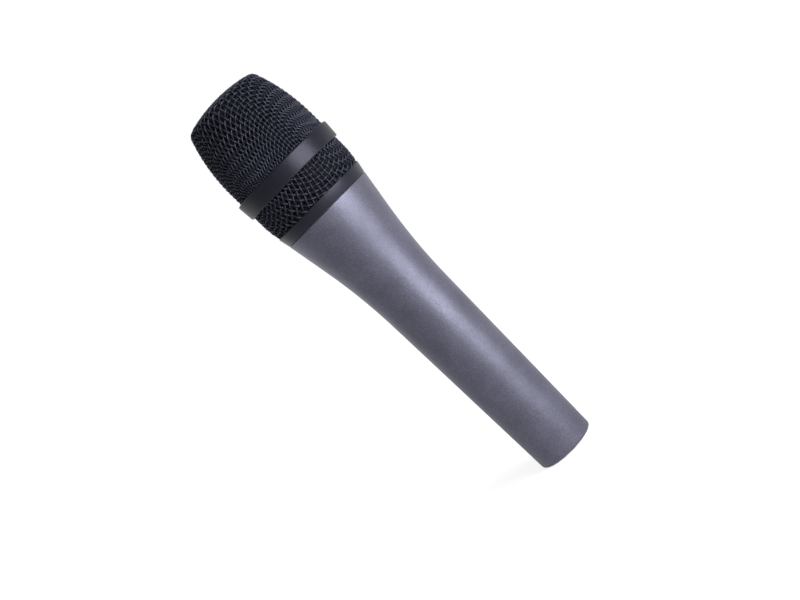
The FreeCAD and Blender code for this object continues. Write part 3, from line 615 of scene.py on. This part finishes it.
def satin_black(name, tone):
    """Satin black enamel of the rings, paler along the collar's edges, partly from edge wear and partly as painted
    highlight lines, and dull on the lip inside the cloth.
    """
    material, tree, shader = new_material(name, Metallic=0.0, Specular_IOR_Level=0.42, Specular_Tint=COOL_GLOSS)
    tones = use(tree, "Tone Drift", Tone=tone, Other_Tone=scaled(tone, 1.25), Patch_Size=0.006,
                Speck_Size=0.00018, Speck=0.15)
    grain = use(tree, "Fine Grain", Grain_Size=0.00018, Pits=0.15)
    # Paler colour along the collar's top and bottom edges: edge wear and painted highlight lines.
    rims = [use(tree, "Edge Wear And Highlight", Height=height, Width=0.0005, Patch_Size=0.0016, Amount=0.5).outputs[0]
            for height in (COLLAR_LOW, COLLAR_TOP)]
    colour = blended(tree, maths(tree, "MAXIMUM", *rims), tones.outputs["Color"], ENAMEL_WEAR_AND_HIGHLIGHT)
    height = add(tree, "SeparateXYZ", {0: place_on_part(tree)}).outputs[2]
    inside_cloth = maths(tree, "GREATER_THAN", height, REAR_LOW)
    above_lip = maths(tree, "GREATER_THAN", height, LIP_TOP + 1 * MM)
    dull = maths(tree, "GREATER_THAN", inside_cloth, above_lip)
    satin = spread(tree, grain.outputs["Mask"], 0.0, 1.0, 0.31, 0.40)
    roughness = maths(tree, "MULTIPLY_ADD", dull, 0.6, satin)
    surface(tree, shader, colour, roughness, grain.outputs["Height"], 0.014 * MM)
    return material


def turned_metal(name, tone, other, roughness, spacing=0.00022):
    """Machined or plated metal with its turning marks."""
    material, tree, shader = new_material(name, Metallic=1.0)
    marks = use(tree, "Turning Marks", Spacing=spacing)
    tones = use(tree, "Tone Drift", Tone=tone, Other_Tone=other, Patch_Size=0.003, Speck_Size=0.0002, Speck=0.06)
    uneven = spread(tree, marks.outputs["Mask"], 0.0, 1.0, roughness * 0.8, roughness * 1.25)
    surface(tree, shader, tones.outputs["Color"], uneven, marks.outputs["Height"], 0.012 * MM)
    return material


def moulded(name, tone, roughness, grain_size=0.00015, depth=0.000015, **sockets):
    """Moulded plastic or rubber with its fine surface and slow change of tone."""
    material, tree, shader = new_material(name, **sockets)
    tones = use(tree, "Tone Drift", Tone=tone, Other_Tone=scaled(tone, 0.8), Patch_Size=0.004,
                Speck_Size=grain_size, Speck=0.1)
    grain = use(tree, "Fine Grain", Grain_Size=grain_size, Pits=0.2)
    uneven = spread(tree, grain.outputs["Mask"], 0.0, 1.0, roughness - 0.06, roughness + 0.08)
    surface(tree, shader, tones.outputs["Color"], uneven, grain.outputs["Height"], depth)
    return material


def open_foam(name, tone):
    """Open-cell foam: pores with painted shade in their hollows, between matt walls."""
    material, tree, shader = new_material(name, Specular_IOR_Level=0.25)
    where = place_on_part(tree)
    cells = add(tree, "TexVoronoi", {"Vector": where, "Scale": 1600.0})
    pores = spread(tree, cells.outputs["Distance"], 0.15, 0.55, 0.0, 1.0)
    tones = use(tree, "Tone Drift", Tone=tone, Other_Tone=scaled(tone, 1.5), Patch_Size=0.006,
                Speck_Size=0.0004, Speck=0.3)
    # Pore hollows darkened in colour: painted shade.
    colour = blended(tree, pores, scaled(tone, 0.35), tones.outputs["Color"])
    surface(tree, shader, colour, spread(tree, pores, 0.0, 1.0, 1.0, 0.85), pores, 0.3 * MM)
    return material


def cloth(name, tone, thread, fuzz):
    """Felt or acoustic cloth."""
    material, tree, shader = new_material(name, Sheen_Weight=0.3, Sheen_Roughness=0.5, Specular_IOR_Level=0.2)
    fibres = use(tree, "Fibres", Thread=thread, Fuzz=fuzz)
    tones = use(tree, "Tone Drift", Tone=tone, Other_Tone=scaled(tone, 0.82), Patch_Size=0.004,
                Speck_Size=0.0003, Speck=0.15)
    colour = blended(tree, fibres.outputs["Mask"], scaled(tone, 0.7), tones.outputs["Color"])
    roughness = spread(tree, fibres.outputs["Mask"], 0.0, 1.0, 0.85, 1.0)
    surface(tree, shader, colour, roughness, fibres.outputs["Height"], 0.08 * MM)
    return material


def winding(name, tone):
    """Enamelled copper wire, wound in close turns."""
    material, tree, shader = new_material(name, Metallic=0.85, Coat_Weight=0.5, Coat_Roughness=0.15)
    marks = use(tree, "Turning Marks", Spacing=0.00012)
    tones = use(tree, "Tone Drift", Tone=tone, Other_Tone=scaled(tone, 0.7), Patch_Size=0.002,
                Speck_Size=0.0002, Speck=0.1)
    colour = blended(tree, marks.outputs["Mask"], scaled(tone, 0.75), tones.outputs["Color"])
    roughness = spread(tree, marks.outputs["Mask"], 0.0, 1.0, 0.25, 0.40)
    surface(tree, shader, colour, roughness, marks.outputs["Height"], 0.02 * MM)
    return material


def pale_floor(name, tone, front_share, behind_share):
    """Pale floor: it takes the object's shadow, and where it shows it also reads as the white surround; it glows a
    little less near the object, which paints a soft shade round its foot.

    What gloss shows of it grows from the front share to the share behind the object.
    """
    material, tree, shader = new_material(name, Roughness=0.9, Specular_IOR_Level=0.1, Emission_Strength=1.0)
    tones = use(tree, "Tone Drift", Tone=tone, Other_Tone=scaled(tone, 0.97), Patch_Size=0.15,
                Speck_Size=0.003, Speck=0.01)
    surface(tree, shader, tones.outputs["Color"], None, tones.outputs["Drift"], 0.2 * MM)
    path = add(tree, "LightPath")
    where = place_on_part(tree)
    depth = add(tree, "SeparateXYZ", {0: where}).outputs[1]
    share = spread(tree, depth, *FRONT_TO_BEHIND, front_share, behind_share)
    mirrored = maths(tree, "MAXIMUM", path.outputs["Is Glossy Ray"], path.outputs["Is Transmission Ray"])
    seen = maths(tree, "MAXIMUM", path.outputs["Is Camera Ray"], maths(tree, "MULTIPLY", mirrored, share))
    away = add(tree, "VectorMath", {0: where}, operation="LENGTH").outputs["Value"]
    # Lower glow near the object: a painted shade round its foot.
    white = blended(tree, spread(tree, away, *SHADOW_EDGE), PAINTED_SHADE_WHITE, FAR_WHITE)
    tree.links.new(blended(tree, seen, BLACK, white), shader.inputs["Emission Color"])
    return material


def make_materials(basket, body):
    """Build the shared groups, and one material for each slot name that the pieces use."""
    GROUPS.update({
        "Tone Drift": tone_group(), "Fine Grain": grain_group(), "Edge Wear And Highlight": edge_wear_and_highlight_group(),
        "Turning Marks": turned_group(), "Fibres": fibre_group(),
    })
    MATERIALS.update({
        "body_paint": lacquer("Blue-Grey Lacquer", body.paint, body.paint_dark, 0.62),
        "mesh_black": plated_wire("Black Plated Wire", basket.wire_tint),
        "ring_black": satin_black("Satin Black Enamel", basket.ring_tint),
        "foam": open_foam("Open-Cell Foam", basket.foam_tint),
        "rubber": moulded("Soft Rubber", (0.035, 0.035, 0.036), 0.72, Sheen_Weight=0.15),
        "black_plastic": moulded("Moulded Black Plastic", (0.024, 0.024, 0.026), 0.48),
        "contact_metal": turned_metal("Plated Contacts", (0.72, 0.68, 0.58), (0.60, 0.55, 0.45), 0.25, 0.00012),
        "steel": turned_metal("Machined Steel", (0.55, 0.55, 0.56), (0.45, 0.45, 0.46), 0.35),
        "alloy": turned_metal("Machined Alloy", (0.68, 0.68, 0.70), (0.58, 0.58, 0.60), 0.42, 0.0003),
        "board": moulded("Green Laminate", (0.03, 0.13, 0.06), 0.40, 0.0004, 0.00002, Coat_Weight=0.3),
        "copper": winding("Enamelled Winding", (0.60, 0.26, 0.12)),
        "felt": cloth("Pale Felt", (0.50, 0.48, 0.44), 0.0007, 1.5),
        "membrane": moulded("Moulded Film", (0.55, 0.52, 0.42), 0.22, 0.0006, 0.00001, Coat_Weight=0.2),
        "lead_red": moulded("Red Insulation", (0.38, 0.025, 0.02), 0.45, 0.0003),
        "lead_white": moulded("White Insulation", (0.62, 0.60, 0.56), 0.45, 0.0003),
    })


# ------------------------------------------------------------------------------ shapes shared by several pieces
THREAD_PITCH = 1.0 * MM
THREAD_DEPTH = 0.42 * MM
THREAD_END = 0.5 * MM       # plain end of a thread
THREAD_GAP = 0.1 * MM       # between the neck and the band
NECK_STEP = 1.8 * MM        # the neck lies that far inside the shoulder
SEAM = 0.1 * MM             # play of the cloths in the rings
GROOVE_DEPTH = 2.3 * MM     # grooves of the collar for the edges of the cloths
GROOVE_WIDTH = 1.2 * MM
COLLAR_WALL = 1.0 * MM      # wall of the collar inside its grooves
LIP_WALL = 1.35 * MM        # lip of the band inside the rear cloth
CLOTH_INSET = 0.01 * MM     # keeps the crests of the wires just inside the outline


def stretch(radius, low, high, spacing=THREAD_PITCH / 8):
    """Straight stretch of an outline with enough points to take a thread; high may lie below low."""
    count = max(round(abs(high - low) / spacing), 1)
    return [(radius, low + (high - low) * step / count) for step in range(count + 1)]


def cut_thread(piece, radius, low, high, depth):
    """Cut a screw thread into the stretch of that radius; a positive depth cuts outwards, as in a nut."""
    for vertex in piece.data.vertices:
        x, y, z = vertex.co
        if abs(math.hypot(x, y) - radius) < 0.01 * MM and low < z < high:
            phase = (z / THREAD_PITCH - math.atan2(y, x) / FULL_TURN) % 1.0
            fade = min(z - low, high - z, THREAD_PITCH / 2) / (THREAD_PITCH / 2)
            scale = 1 + depth * fade * (1 - abs(2 * phase - 1)) / radius
            vertex.co = (x * scale, y * scale, z)


def baked(piece):
    """The piece with its modifiers made part of its mesh."""
    collection = bpy.context.scene.collection
    collection.objects.link(piece)
    ready = piece.evaluated_get(bpy.context.evaluated_depsgraph_get())
    mesh = bpy.data.meshes.new_from_object(ready)
    collection.objects.unlink(piece)
    piece.modifiers.clear()
    piece.data = mesh
    return piece


def soft_copy(name, node, voxel, depth, size):
    """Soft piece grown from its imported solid: an even fine mesh with rounded edges and an uneven face."""
    source = bmesh.new()
    source.from_mesh(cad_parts[node].data)
    bmesh.ops.remove_doubles(source, verts=source.verts, dist=1e-6)
    mesh = bpy.data.meshes.new(name)
    source.to_mesh(mesh)
    source.free()
    piece = bpy.data.objects.new(name, mesh)
    grid = piece.modifiers.new("Even Grid", "REMESH")
    grid.mode = "VOXEL"
    grid.voxel_size = voxel
    piece = baked(piece)
    normals = [vertex.normal.copy() for vertex in piece.data.vertices]
    for vertex, normal in zip(piece.data.vertices, normals):
        pit = noise.noise(vertex.co / size) + 0.5 * noise.noise(vertex.co / size * 2.3)
        vertex.co -= normal * depth * min(max(0.5 + pit, 0.0), 1.0)
    piece.data.shade_smooth()
    return piece


def wound(name, inner, outer, low, high, wire):
    """Coil whose outside shows its turns of wire."""
    turns = max(round((high - low) / wire), 1)
    pitch = (high - low) / turns
    outline = [(inner, low), (outer - wire / 2, low)]
    for turn in range(turns):
        for share, bulge in ((0.15, 0.7), (0.5, 1.0), (0.85, 0.7), (1.0, 0.1)):
            outline.append((outer - wire / 2 * (1 - bulge), low + (turn + share) * pitch))
    outline.append((inner, high))
    return lathe(name, outline, segments=96, sharp=80)


def offset(outline, depth):
    """Outline shifted sideways by a depth: to the right of its direction, or to the left if negative."""
    points = np.array(outline)
    along = np.gradient(points, axis=0)
    along /= np.linalg.norm(along, axis=1, keepdims=True)
    shifted = points + np.stack([along[:, 1], -along[:, 0]], axis=1) * depth
    shifted[0] = (0.0, shifted[0][1])
    return shifted


def front_profile(size):
    """Middle of the front cloth from the apex down to its foot in the collar."""
    drop = size.front_bend - math.sqrt(size.front_bend ** 2 - size.front_reach ** 2)
    rim = (size.front_reach, APEX - drop)
    brow = (size.brow_radius, APEX - size.brow_drop)
    belly = (FRONT_RADIUS, COLLAR_TOP + size.side_straight)
    outline = arc_points((0.0, APEX), rim, -size.front_bend, 60)
    outline += arc_points(rim, brow, -size.corner_bend, 24)
    outline += arc_points(brow, belly, -size.side_bend, 60)
    outline += stretch(FRONT_RADIUS, belly[1], FRONT_LOW, 0.3 * MM)
    return Profile(offset(outline, size.wire_radius + size.crimp + CLOTH_INSET))


def rear_profile(size):
    """Middle of the rear cloth: a shallow cup that rises from the band to its edge in the collar."""
    foot = (BAND_RADIUS - size.rear_step, REAR_LOW)
    belly = (GRILLE_RADIUS, REAR_LOW + size.rear_rise)
    flat = (foot[0] - size.rear_corner, REAR_LOW - size.rear_corner)
    outline = [(flat[0] * step / 40, flat[1]) for step in range(40)]
    outline += arc_points(flat, foot, size.rear_corner * 1.02, 12)
    outline += arc_points(foot, belly, size.rear_bend, 30)
    outline += stretch(GRILLE_RADIUS, belly[1], REAR_TOP, 0.3 * MM)
    return Profile(offset(outline, -size.wire_radius - size.crimp - CLOTH_INSET))


# ------------------------------------------------------------------------------ operators
class MIC_OT_woven_mesh(bpy.types.Operator):
    """Add the two woven wire cloths of the basket"""
    bl_idname = "mic.woven_mesh"
    bl_label = "Woven Mesh"

    def execute(self, context):
        size = context.scene.mic_basket
        edge = 0.4 * MM
        weave = Weave(size.pitch, knee=11, side_pitch=size.side_pitch, start=9,
                      stretch=size.front_stretch, gather=0.030)
        front = woven("front_mesh", front_profile(size), weave, FRONT_LOW + edge, APEX, size)
        place(front, "basket", MATERIALS["mesh_black"], "mesh_black", "front_grille")
        weave = Weave(size.rear_pitch * 1.09, knee=9, side_pitch=size.rear_pitch, start=8,
                      stretch=size.rear_stretch, gather=0.020)
        rear = woven("rear_mesh", rear_profile(size), weave, REAR_LOW - edge, REAR_TOP - edge, size)
        place(rear, "basket", MATERIALS["mesh_black"], "mesh_black", "rear_grille")
        return {"FINISHED"}


class MIC_OT_rings(bpy.types.Operator):
    """Add the collar between the cloths and the threaded band at the foot of the basket"""
    bl_idname = "mic.rings"
    bl_label = "Collar and Band"

    def execute(self, context):
        size = context.scene.mic_basket
        outside = GRILLE_RADIUS + SEAM
        wall = outside - GROOVE_WIDTH
        bore = wall - COLLAR_WALL
        low_groove, high_groove = COLLAR_LOW + GROOVE_DEPTH, COLLAR_TOP - GROOVE_DEPTH
        collar = lathe("collar", soften([
            (bore, COLLAR_LOW, 0.15 * MM),
            (wall, COLLAR_LOW), (wall, low_groove), (outside, low_groove),
            (outside, COLLAR_LOW, 0.08 * MM),
            (COLLAR_RADIUS - size.collar_taper, COLLAR_LOW, size.collar_round),
            (COLLAR_RADIUS, COLLAR_TOP, size.collar_round),
            (outside, COLLAR_TOP, 0.08 * MM),
            (outside, high_groove), (wall, high_groove), (wall, COLLAR_TOP),
            (bore, COLLAR_TOP, 0.15 * MM),
        ], steps=8), segments=200)
        place(collar, "basket", MATERIALS["ring_black"], "ring_black", "collar_ring")

        bore = SHOULDER_RADIUS - NECK_STEP + THREAD_GAP
        lip = bore + LIP_WALL
        band_top = REAR_LOW - SEAM
        band = lathe("base_band", soften([
            (bore, BAND_LOW, 0.2 * MM),
            (SHOULDER_RADIUS, BAND_LOW, 0.12 * MM),
            (BAND_RADIUS, band_top, 0.22 * MM),
            (lip, band_top), (lip, LIP_TOP, 0.15 * MM), (bore, LIP_TOP, 0.15 * MM),
            *stretch(bore, LIP_TOP - 0.4 * MM, BAND_LOW + 0.4 * MM),
        ], steps=5), segments=200)
        cut_thread(band, bore, BAND_LOW + THREAD_END, LIP_TOP - THREAD_END, THREAD_DEPTH)
        place(band, "basket", MATERIALS["ring_black"], "ring_black", "grille_base_ring")
        return {"FINISHED"}


class MIC_OT_foam_liner(bpy.types.Operator):
    """Add the foam sleeve and the foam cup that line the basket"""
    bl_idname = "mic.foam_liner"
    bl_label = "Foam Liner"

    def execute(self, context):
        rim = SHOULDER_RADIUS - NECK_STEP + THREAD_GAP
        slope = 0.4 * MM
        for name in ("foam_sleeve", "foam_dome"):
            liner = soft_copy(name + "_soft", name, voxel=0.55 * MM, depth=0.18 * MM, size=0.9 * MM)
            for vertex in liner.data.vertices:
                if vertex.co.z < LIP_TOP + 0.9 * MM:  # the foot settles on the band's lip and droops inside it
                    droop = (rim - math.hypot(vertex.co.x, vertex.co.y)) / slope
                    vertex.co.z -= 0.12 * MM + slope * min(max(droop, 0.0), 1.0)
            place(liner, "foam", MATERIALS["foam"], "foam", name)
        return {"FINISHED"}


class MIC_OT_body_shell(bpy.types.Operator):
    """Add the die-cast body: tail, tapered barrel, flare, shoulder and threaded neck"""
    bl_idname = "mic.body_shell"
    bl_label = "Body Shell"

    def execute(self, context):
        size = context.scene.mic_body
        wall = 2.0 * MM
        neck = SHOULDER_RADIUS - NECK_STEP
        chamfer = 0.5 * MM
        bore = neck - 1.5 * MM
        ledge = bore - 1.1 * MM
        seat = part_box("capsule_mount_ring")[0].z
        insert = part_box("connector_insert")[1]
        mouth = insert.x + 0.1 * MM
        lip = mouth - 0.7 * MM
        lip_top = 24.0 * MM
        waist = (size.waist_radius, size.waist_height)
        flare = (size.flare_radius, size.flare_height)
        shell = lathe("body_shell", soften([
            (mouth, SHELL_LOW, 0.25 * MM),
            (size.tail_radius, SHELL_LOW, size.tail_round),
            *arc_points(waist, flare, -size.flare_bend, 16),
            flare,
            (SHOULDER_RADIUS, size.shoulder, 0.25 * MM),
            (neck, size.shoulder),
            *stretch(neck, size.shoulder + 0.4 * MM, NECK_TOP - chamfer),
            (neck - chamfer, NECK_TOP), (bore, NECK_TOP, 0.15 * MM),
            (bore, seat), (ledge, seat, 0.15 * MM),
            (flare[0] - wall, flare[1]), (waist[0] - wall, waist[1]),
            (10.92 * MM, lip_top + 1 * MM), (lip, lip_top), (lip, insert.z), (mouth, insert.z),
        ], steps=8), segments=192)
        cut_thread(shell, neck, size.shoulder + THREAD_END, NECK_TOP - THREAD_END, -THREAD_DEPTH)

        low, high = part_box("insert_screw")
        radius = (high.x - low.x) / 2 + 0.1 * MM
        drill = bpy.data.meshes.new("screw_drill")
        builder = bmesh.new()
        turned = Matrix.Translation((low + high) / 2) @ Matrix.Rotation(math.pi / 2, 4, "X")
        bmesh.ops.create_cone(builder, cap_ends=True, segments=48, radius1=radius, radius2=radius,
                              depth=8 * MM, matrix=turned)
        builder.to_mesh(drill)
        builder.free()
        cutter = bpy.data.objects.new("screw_drill", drill)
        hole = shell.modifiers.new("Screw Hole", "BOOLEAN")
        hole.object = cutter
        hole.operation = "DIFFERENCE"
        hole.solver = "EXACT"
        shell = baked(shell)
        bpy.data.objects.remove(cutter)
        shell.data.shade_smooth()
        shell.data.set_sharp_from_angle(angle=math.radians(35))
        place(shell, "handle", MATERIALS["body_paint"], "body_paint", "handle_shell")
        return {"FINISHED"}


class MIC_OT_connector(bpy.types.Operator):
    """Add the three turned contacts, and finish the insert, its screw and the parts behind it"""
    bl_idname = "mic.connector"
    bl_label = "Connector"

    def execute(self, context):
        stem = 1.185 * MM
        tag = 1.1 * MM
        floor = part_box("connector_insert")[1].z - 6.1 * MM
        for number in (1, 2, 3):
            low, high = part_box(f"contact_pin_{number}")
            foot = (high.x - low.x) / 2
            tag_low = high.z - 3.2 * MM
            shaft = soften([
                (0.0, low.z), (0.55 * MM, low.z, 0.3 * MM), (stem, low.z + 1.1 * MM, 0.8 * MM),
                (stem, floor), (foot, floor, 0.1 * MM), (foot, tag_low, 0.1 * MM),
                (tag, tag_low), (tag, high.z, 0.2 * MM), (0.0, high.z),
            ], steps=6)
            contact = lathe(f"contact_{number}", shaft, segments=48)
            middle = (low + high) / 2
            contact.data.transform(Matrix.Translation((middle.x, middle.y, 0)))
            place(contact, "handle", MATERIALS["contact_metal"], "contact_metal", f"contact_pin_{number}")
        dress("connector_insert", "insert_screw", "terminal_board", "ground_spring")
        return {"FINISHED"}


class MIC_OT_wiring(bpy.types.Operator):
    """Add the two leads in the barrel and the foam plug that steadies them"""
    bl_idname = "mic.wiring"
    bl_label = "Wiring"

    def execute(self, context):
        count = 120
        for node, slot, side in (("signal_lead_hot", "lead_red", 1), ("signal_lead_cold", "lead_white", -1)):
            low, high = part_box(node)
            middle = (low + high) / 2
            heights = np.linspace(low.z, high.z, count)
            sway = side * 0.2 * MM * np.sin((heights - low.z) / (11 * MM))
            line = np.stack([np.full(count, middle.x), middle.y + sway, heights], axis=1)
            points, faces, _ = sweep_wire(line, np.tile((1.0, 0.0, 0.0), (count, 1)), high.x - middle.x, 16, 0)
            lead = new_piece(node + "_wire", points, faces, sharp=60)
            give = ("capsule", high.z - 20 * MM, high.z - 1 * MM)
            place(lead, "handle", MATERIALS[slot], slot, node, until=give)
        damper = soft_copy("lead_damper_soft", "lead_damper", voxel=0.45 * MM, depth=0.2 * MM, size=0.9 * MM)
        place(damper, "handle", MATERIALS["foam"], "foam", "lead_damper")
        return {"FINISHED"}


class MIC_OT_capsule_mount(bpy.types.Operator):
    """Add the rubber ring that floats the capsule, and finish the ring that carries it"""
    bl_idname = "mic.capsule_mount"
    bl_label = "Capsule Mount"

    def execute(self, context):
        dress("capsule_mount_ring")
        low, high, outer = node_span("suspension_ring")
        inner = outer - 1.8 * MM
        groove, half_width = 0.55 * MM, 1.2 * MM
        middle = (low + high) / 2
        rubber = lathe("rubber_ring", soften([
            (inner, low, 0.3 * MM), (outer, low, 0.4 * MM), (outer, middle - half_width, 0.5 * MM),
            (outer - groove, middle, 0.9 * MM), (outer, middle + half_width, 0.5 * MM),
            (outer, high, 0.4 * MM), (inner, high, 0.3 * MM),
        ], steps=5), segments=128)
        place(rubber, "handle", MATERIALS["rubber"], "rubber", "suspension_ring", until=("capsule", low, high))
        return {"FINISHED"}


class MIC_OT_capsule(bpy.types.Operator):
    """Finish the capsule's case and magnet, and add its hum coil, felt and front cloth"""
    bl_idname = "mic.capsule"
    bl_label = "Capsule"

    def execute(self, context):
        dress("capsule_housing", "front_plate", "rear_chamber", "yoke", "magnet", "pole_piece")
        low, high, outer = node_span("hum_coil")
        coil = wound("hum_winding", 4.5 * MM, outer, low, high, wire=0.25 * MM)
        place(coil, "capsule", MATERIALS["copper"], "copper", "hum_coil")
        ring = soft_copy("felt_ring", "damping_felt", voxel=0.25 * MM, depth=0.12 * MM, size=0.5 * MM)
        place(ring, "capsule", MATERIALS["felt"], "felt", "damping_felt")
        disc = soft_copy("cloth_disc", "front_cloth", voxel=0.16 * MM, depth=0.05 * MM, size=0.6 * MM)
        place(disc, "capsule", MATERIALS["felt"], "felt", "front_cloth")
        return {"FINISHED"}


class MIC_OT_moving_coil(bpy.types.Operator):
    """Add the domed diaphragm with its fluted surround, and the voice coil under it"""
    bl_idname = "mic.moving_coil"
    bl_label = "Moving Coil"

    def execute(self, context):
        low, high, outer = node_span("voice_coil")
        coil = wound("voice_winding", outer - 0.4 * MM, outer, low, high - 0.05 * MM, wire=0.16 * MM)
        place(coil, "moving_coil", MATERIALS["copper"], "copper", "voice_coil")
        bottom, top, rim = node_span("diaphragm")
        edge = rim - 0.65 * MM
        skin = 0.12 * MM
        drop = top - bottom - 0.25 * MM
        dome = [(outer * share, top - skin - drop * share ** 2) for share in np.linspace(0, 1, 17)]
        flutes = [(outer + (edge - outer) * share, bottom + (0.13 + 0.06 * math.sin(share * math.pi * 8)) * MM)
                  for share in np.linspace(0, 1, 33)[1:]]
        upper = dome + flutes
        lower = [(radius, height - skin) for radius, height in upper]
        film = lathe("diaphragm_film", upper + lower[::-1], segments=96, sharp=60)
        place(film, "moving_coil", MATERIALS["membrane"], "membrane", "diaphragm")
        inside, underside, face = edge + 0.03 * MM, bottom + 0.01 * MM, bottom + 0.25 * MM
        seated = lathe("diaphragm_rim", soften([
            (inside, underside), (rim, underside), (rim, face, 0.05 * MM), (inside, face, 0.05 * MM),
        ], steps=3), segments=96)
        place(seated, "capsule", MATERIALS["membrane"], "membrane")
        return {"FINISHED"}


# ------------------------------------------------------------------------------ studio
MIDDLE = (0, 0, 0.095)
TAIL = (0, 0, 0.01)
FLOOR_REACH = 4.0
FLOOR_HEIGHT = -0.2 * MM


def lamp(name, place_at, aim, width, height, power):
    """Soft rectangular lamp that faces a point and stays out of the picture."""
    data = bpy.data.lights.new(name, "AREA")
    data.shape = "RECTANGLE"
    data.size = width
    data.size_y = height
    data.energy = power
    thing = bpy.data.objects.new(name, data)
    thing.location = place_at
    thing.rotation_euler = (Vector(aim) - Vector(place_at)).to_track_quat("-Z", "Y").to_euler()
    thing.visible_camera = False
    bpy.context.scene.collection.objects.link(thing)


class MIC_OT_studio(bpy.types.Operator):
    """Set up the pale floor, the soft studio light and the camera"""
    bl_idname = "mic.studio"
    bl_label = "Studio"

    def execute(self, context):
        scene = context.scene
        size = scene.mic_stage
        corners = [(x * FLOOR_REACH, y * FLOOR_REACH, FLOOR_HEIGHT) for x, y in ((-1, -1), (1, -1), (1, 1), (-1, 1))]
        floor = new_piece("studio_floor", corners, [(0, 1, 2, 3)])
        floor.data.materials.append(pale_floor("Pale Floor", (0.80, 0.80, 0.80), size.floor_front, size.floor_behind))
        scene.collection.objects.link(floor)

        x, y = size.key_reach * math.sin(size.key_turn), -size.key_reach * math.cos(size.key_turn)
        lamp("key_softbox", (x, y, 0.11), MIDDLE, size.key_width, 0.95, size.key_power)
        lamp("low_softbox", (x, y, 0.06), TAIL, size.key_width, 0.10, size.low_power)
        lamp("fill_softbox", (-0.75, -0.25, 0.12), MIDDLE, 0.9, 0.9, size.fill_power)

        world = bpy.data.worlds.new("Studio Surround")
        scene.world = world
        world.use_nodes = True
        tree = world.node_tree
        tree.nodes.clear()
        facing = add(tree, "SeparateXYZ", {0: add(tree, "TexCoord").outputs["Generated"]}).outputs[1]
        behind = spread(tree, facing, -0.1, 0.9, size.surround_front, size.surround_behind)
        path = add(tree, "LightPath")
        shown = maths(tree, "MAXIMUM", path.outputs["Is Glossy Ray"], path.outputs["Is Transmission Ray"])
        lit = add(tree, "Mix", {0: shown, 2: size.ambient, 3: behind}, data_type="FLOAT").outputs[0]
        level = add(tree, "Mix", {0: path.outputs["Is Camera Ray"], 2: lit, 3: 1.0}, data_type="FLOAT").outputs[0]
        surround = add(tree, "Background", {"Color": (1.0, 1.0, 1.0, 1.0), "Strength": level})
        tree.links.new(surround.outputs[0], add(tree, "OutputWorld").inputs["Surface"])

        forward = Vector((-math.tan(size.swing), math.cos(size.tilt), -math.sin(size.tilt))).normalized()
        level_right = forward.cross(Vector((0, 0, 1))).normalized()
        level_up = level_right.cross(forward)
        right = level_right * math.cos(size.roll) - level_up * math.sin(size.roll)
        up = level_right * math.sin(size.roll) + level_up * math.cos(size.roll)
        data = bpy.data.cameras.new("studio_camera")
        data.lens = size.lens
        camera = bpy.data.objects.new("studio_camera", data)
        camera.matrix_world = Matrix((right, up, -forward)).transposed().to_4x4()
        camera.location = (0, -size.distance, size.height)
        scene.collection.objects.link(camera)
        scene.camera = camera
        scene.view_settings.view_transform = "Standard"
        return {"FINISHED"}


# ------------------------------------------------------------------------------ add-on
OPERATORS = (
    MIC_OT_woven_mesh, MIC_OT_rings, MIC_OT_foam_liner, MIC_OT_body_shell, MIC_OT_connector, MIC_OT_wiring,
    MIC_OT_capsule_mount, MIC_OT_capsule, MIC_OT_moving_coil, MIC_OT_studio,
)
SETTINGS = {"mic_basket": MIC_PG_basket, "mic_body": MIC_PG_body, "mic_stage": MIC_PG_stage}


class MIC_PT_sidebar(bpy.types.Panel):
    """Pieces of the microphone, and the sizes and colours they are built with"""
    bl_label = "Dynamic Microphone"
    bl_idname = "MIC_PT_sidebar"
    bl_space_type = "VIEW_3D"
    bl_region_type = "UI"
    bl_category = "Microphone"

    def draw(self, context):
        for operator in OPERATORS:
            self.layout.operator(operator.bl_idname)
        for name in SETTINGS:
            box = self.layout.box()
            group = getattr(context.scene, name)
            for setting in group.__annotations__:
                box.prop(group, setting)


CLASSES = (*SETTINGS.values(), *OPERATORS, MIC_PT_sidebar)


def register():
    for made in CLASSES:
        bpy.utils.register_class(made)
    for name, group in SETTINGS.items():
        setattr(bpy.types.Scene, name, PointerProperty(type=group))


def unregister():
    for name in SETTINGS:
        delattr(bpy.types.Scene, name)
    for made in reversed(CLASSES):
        bpy.utils.unregister_class(made)


def main():
    """Build every piece in order."""
    register()
    scene = bpy.context.scene
    make_materials(scene.mic_basket, scene.mic_body)
    for operator in OPERATORS:
        group, name = operator.bl_idname.split(".")
        getattr(getattr(bpy.ops, group), name)()


if __name__ == "__main__":
    main()
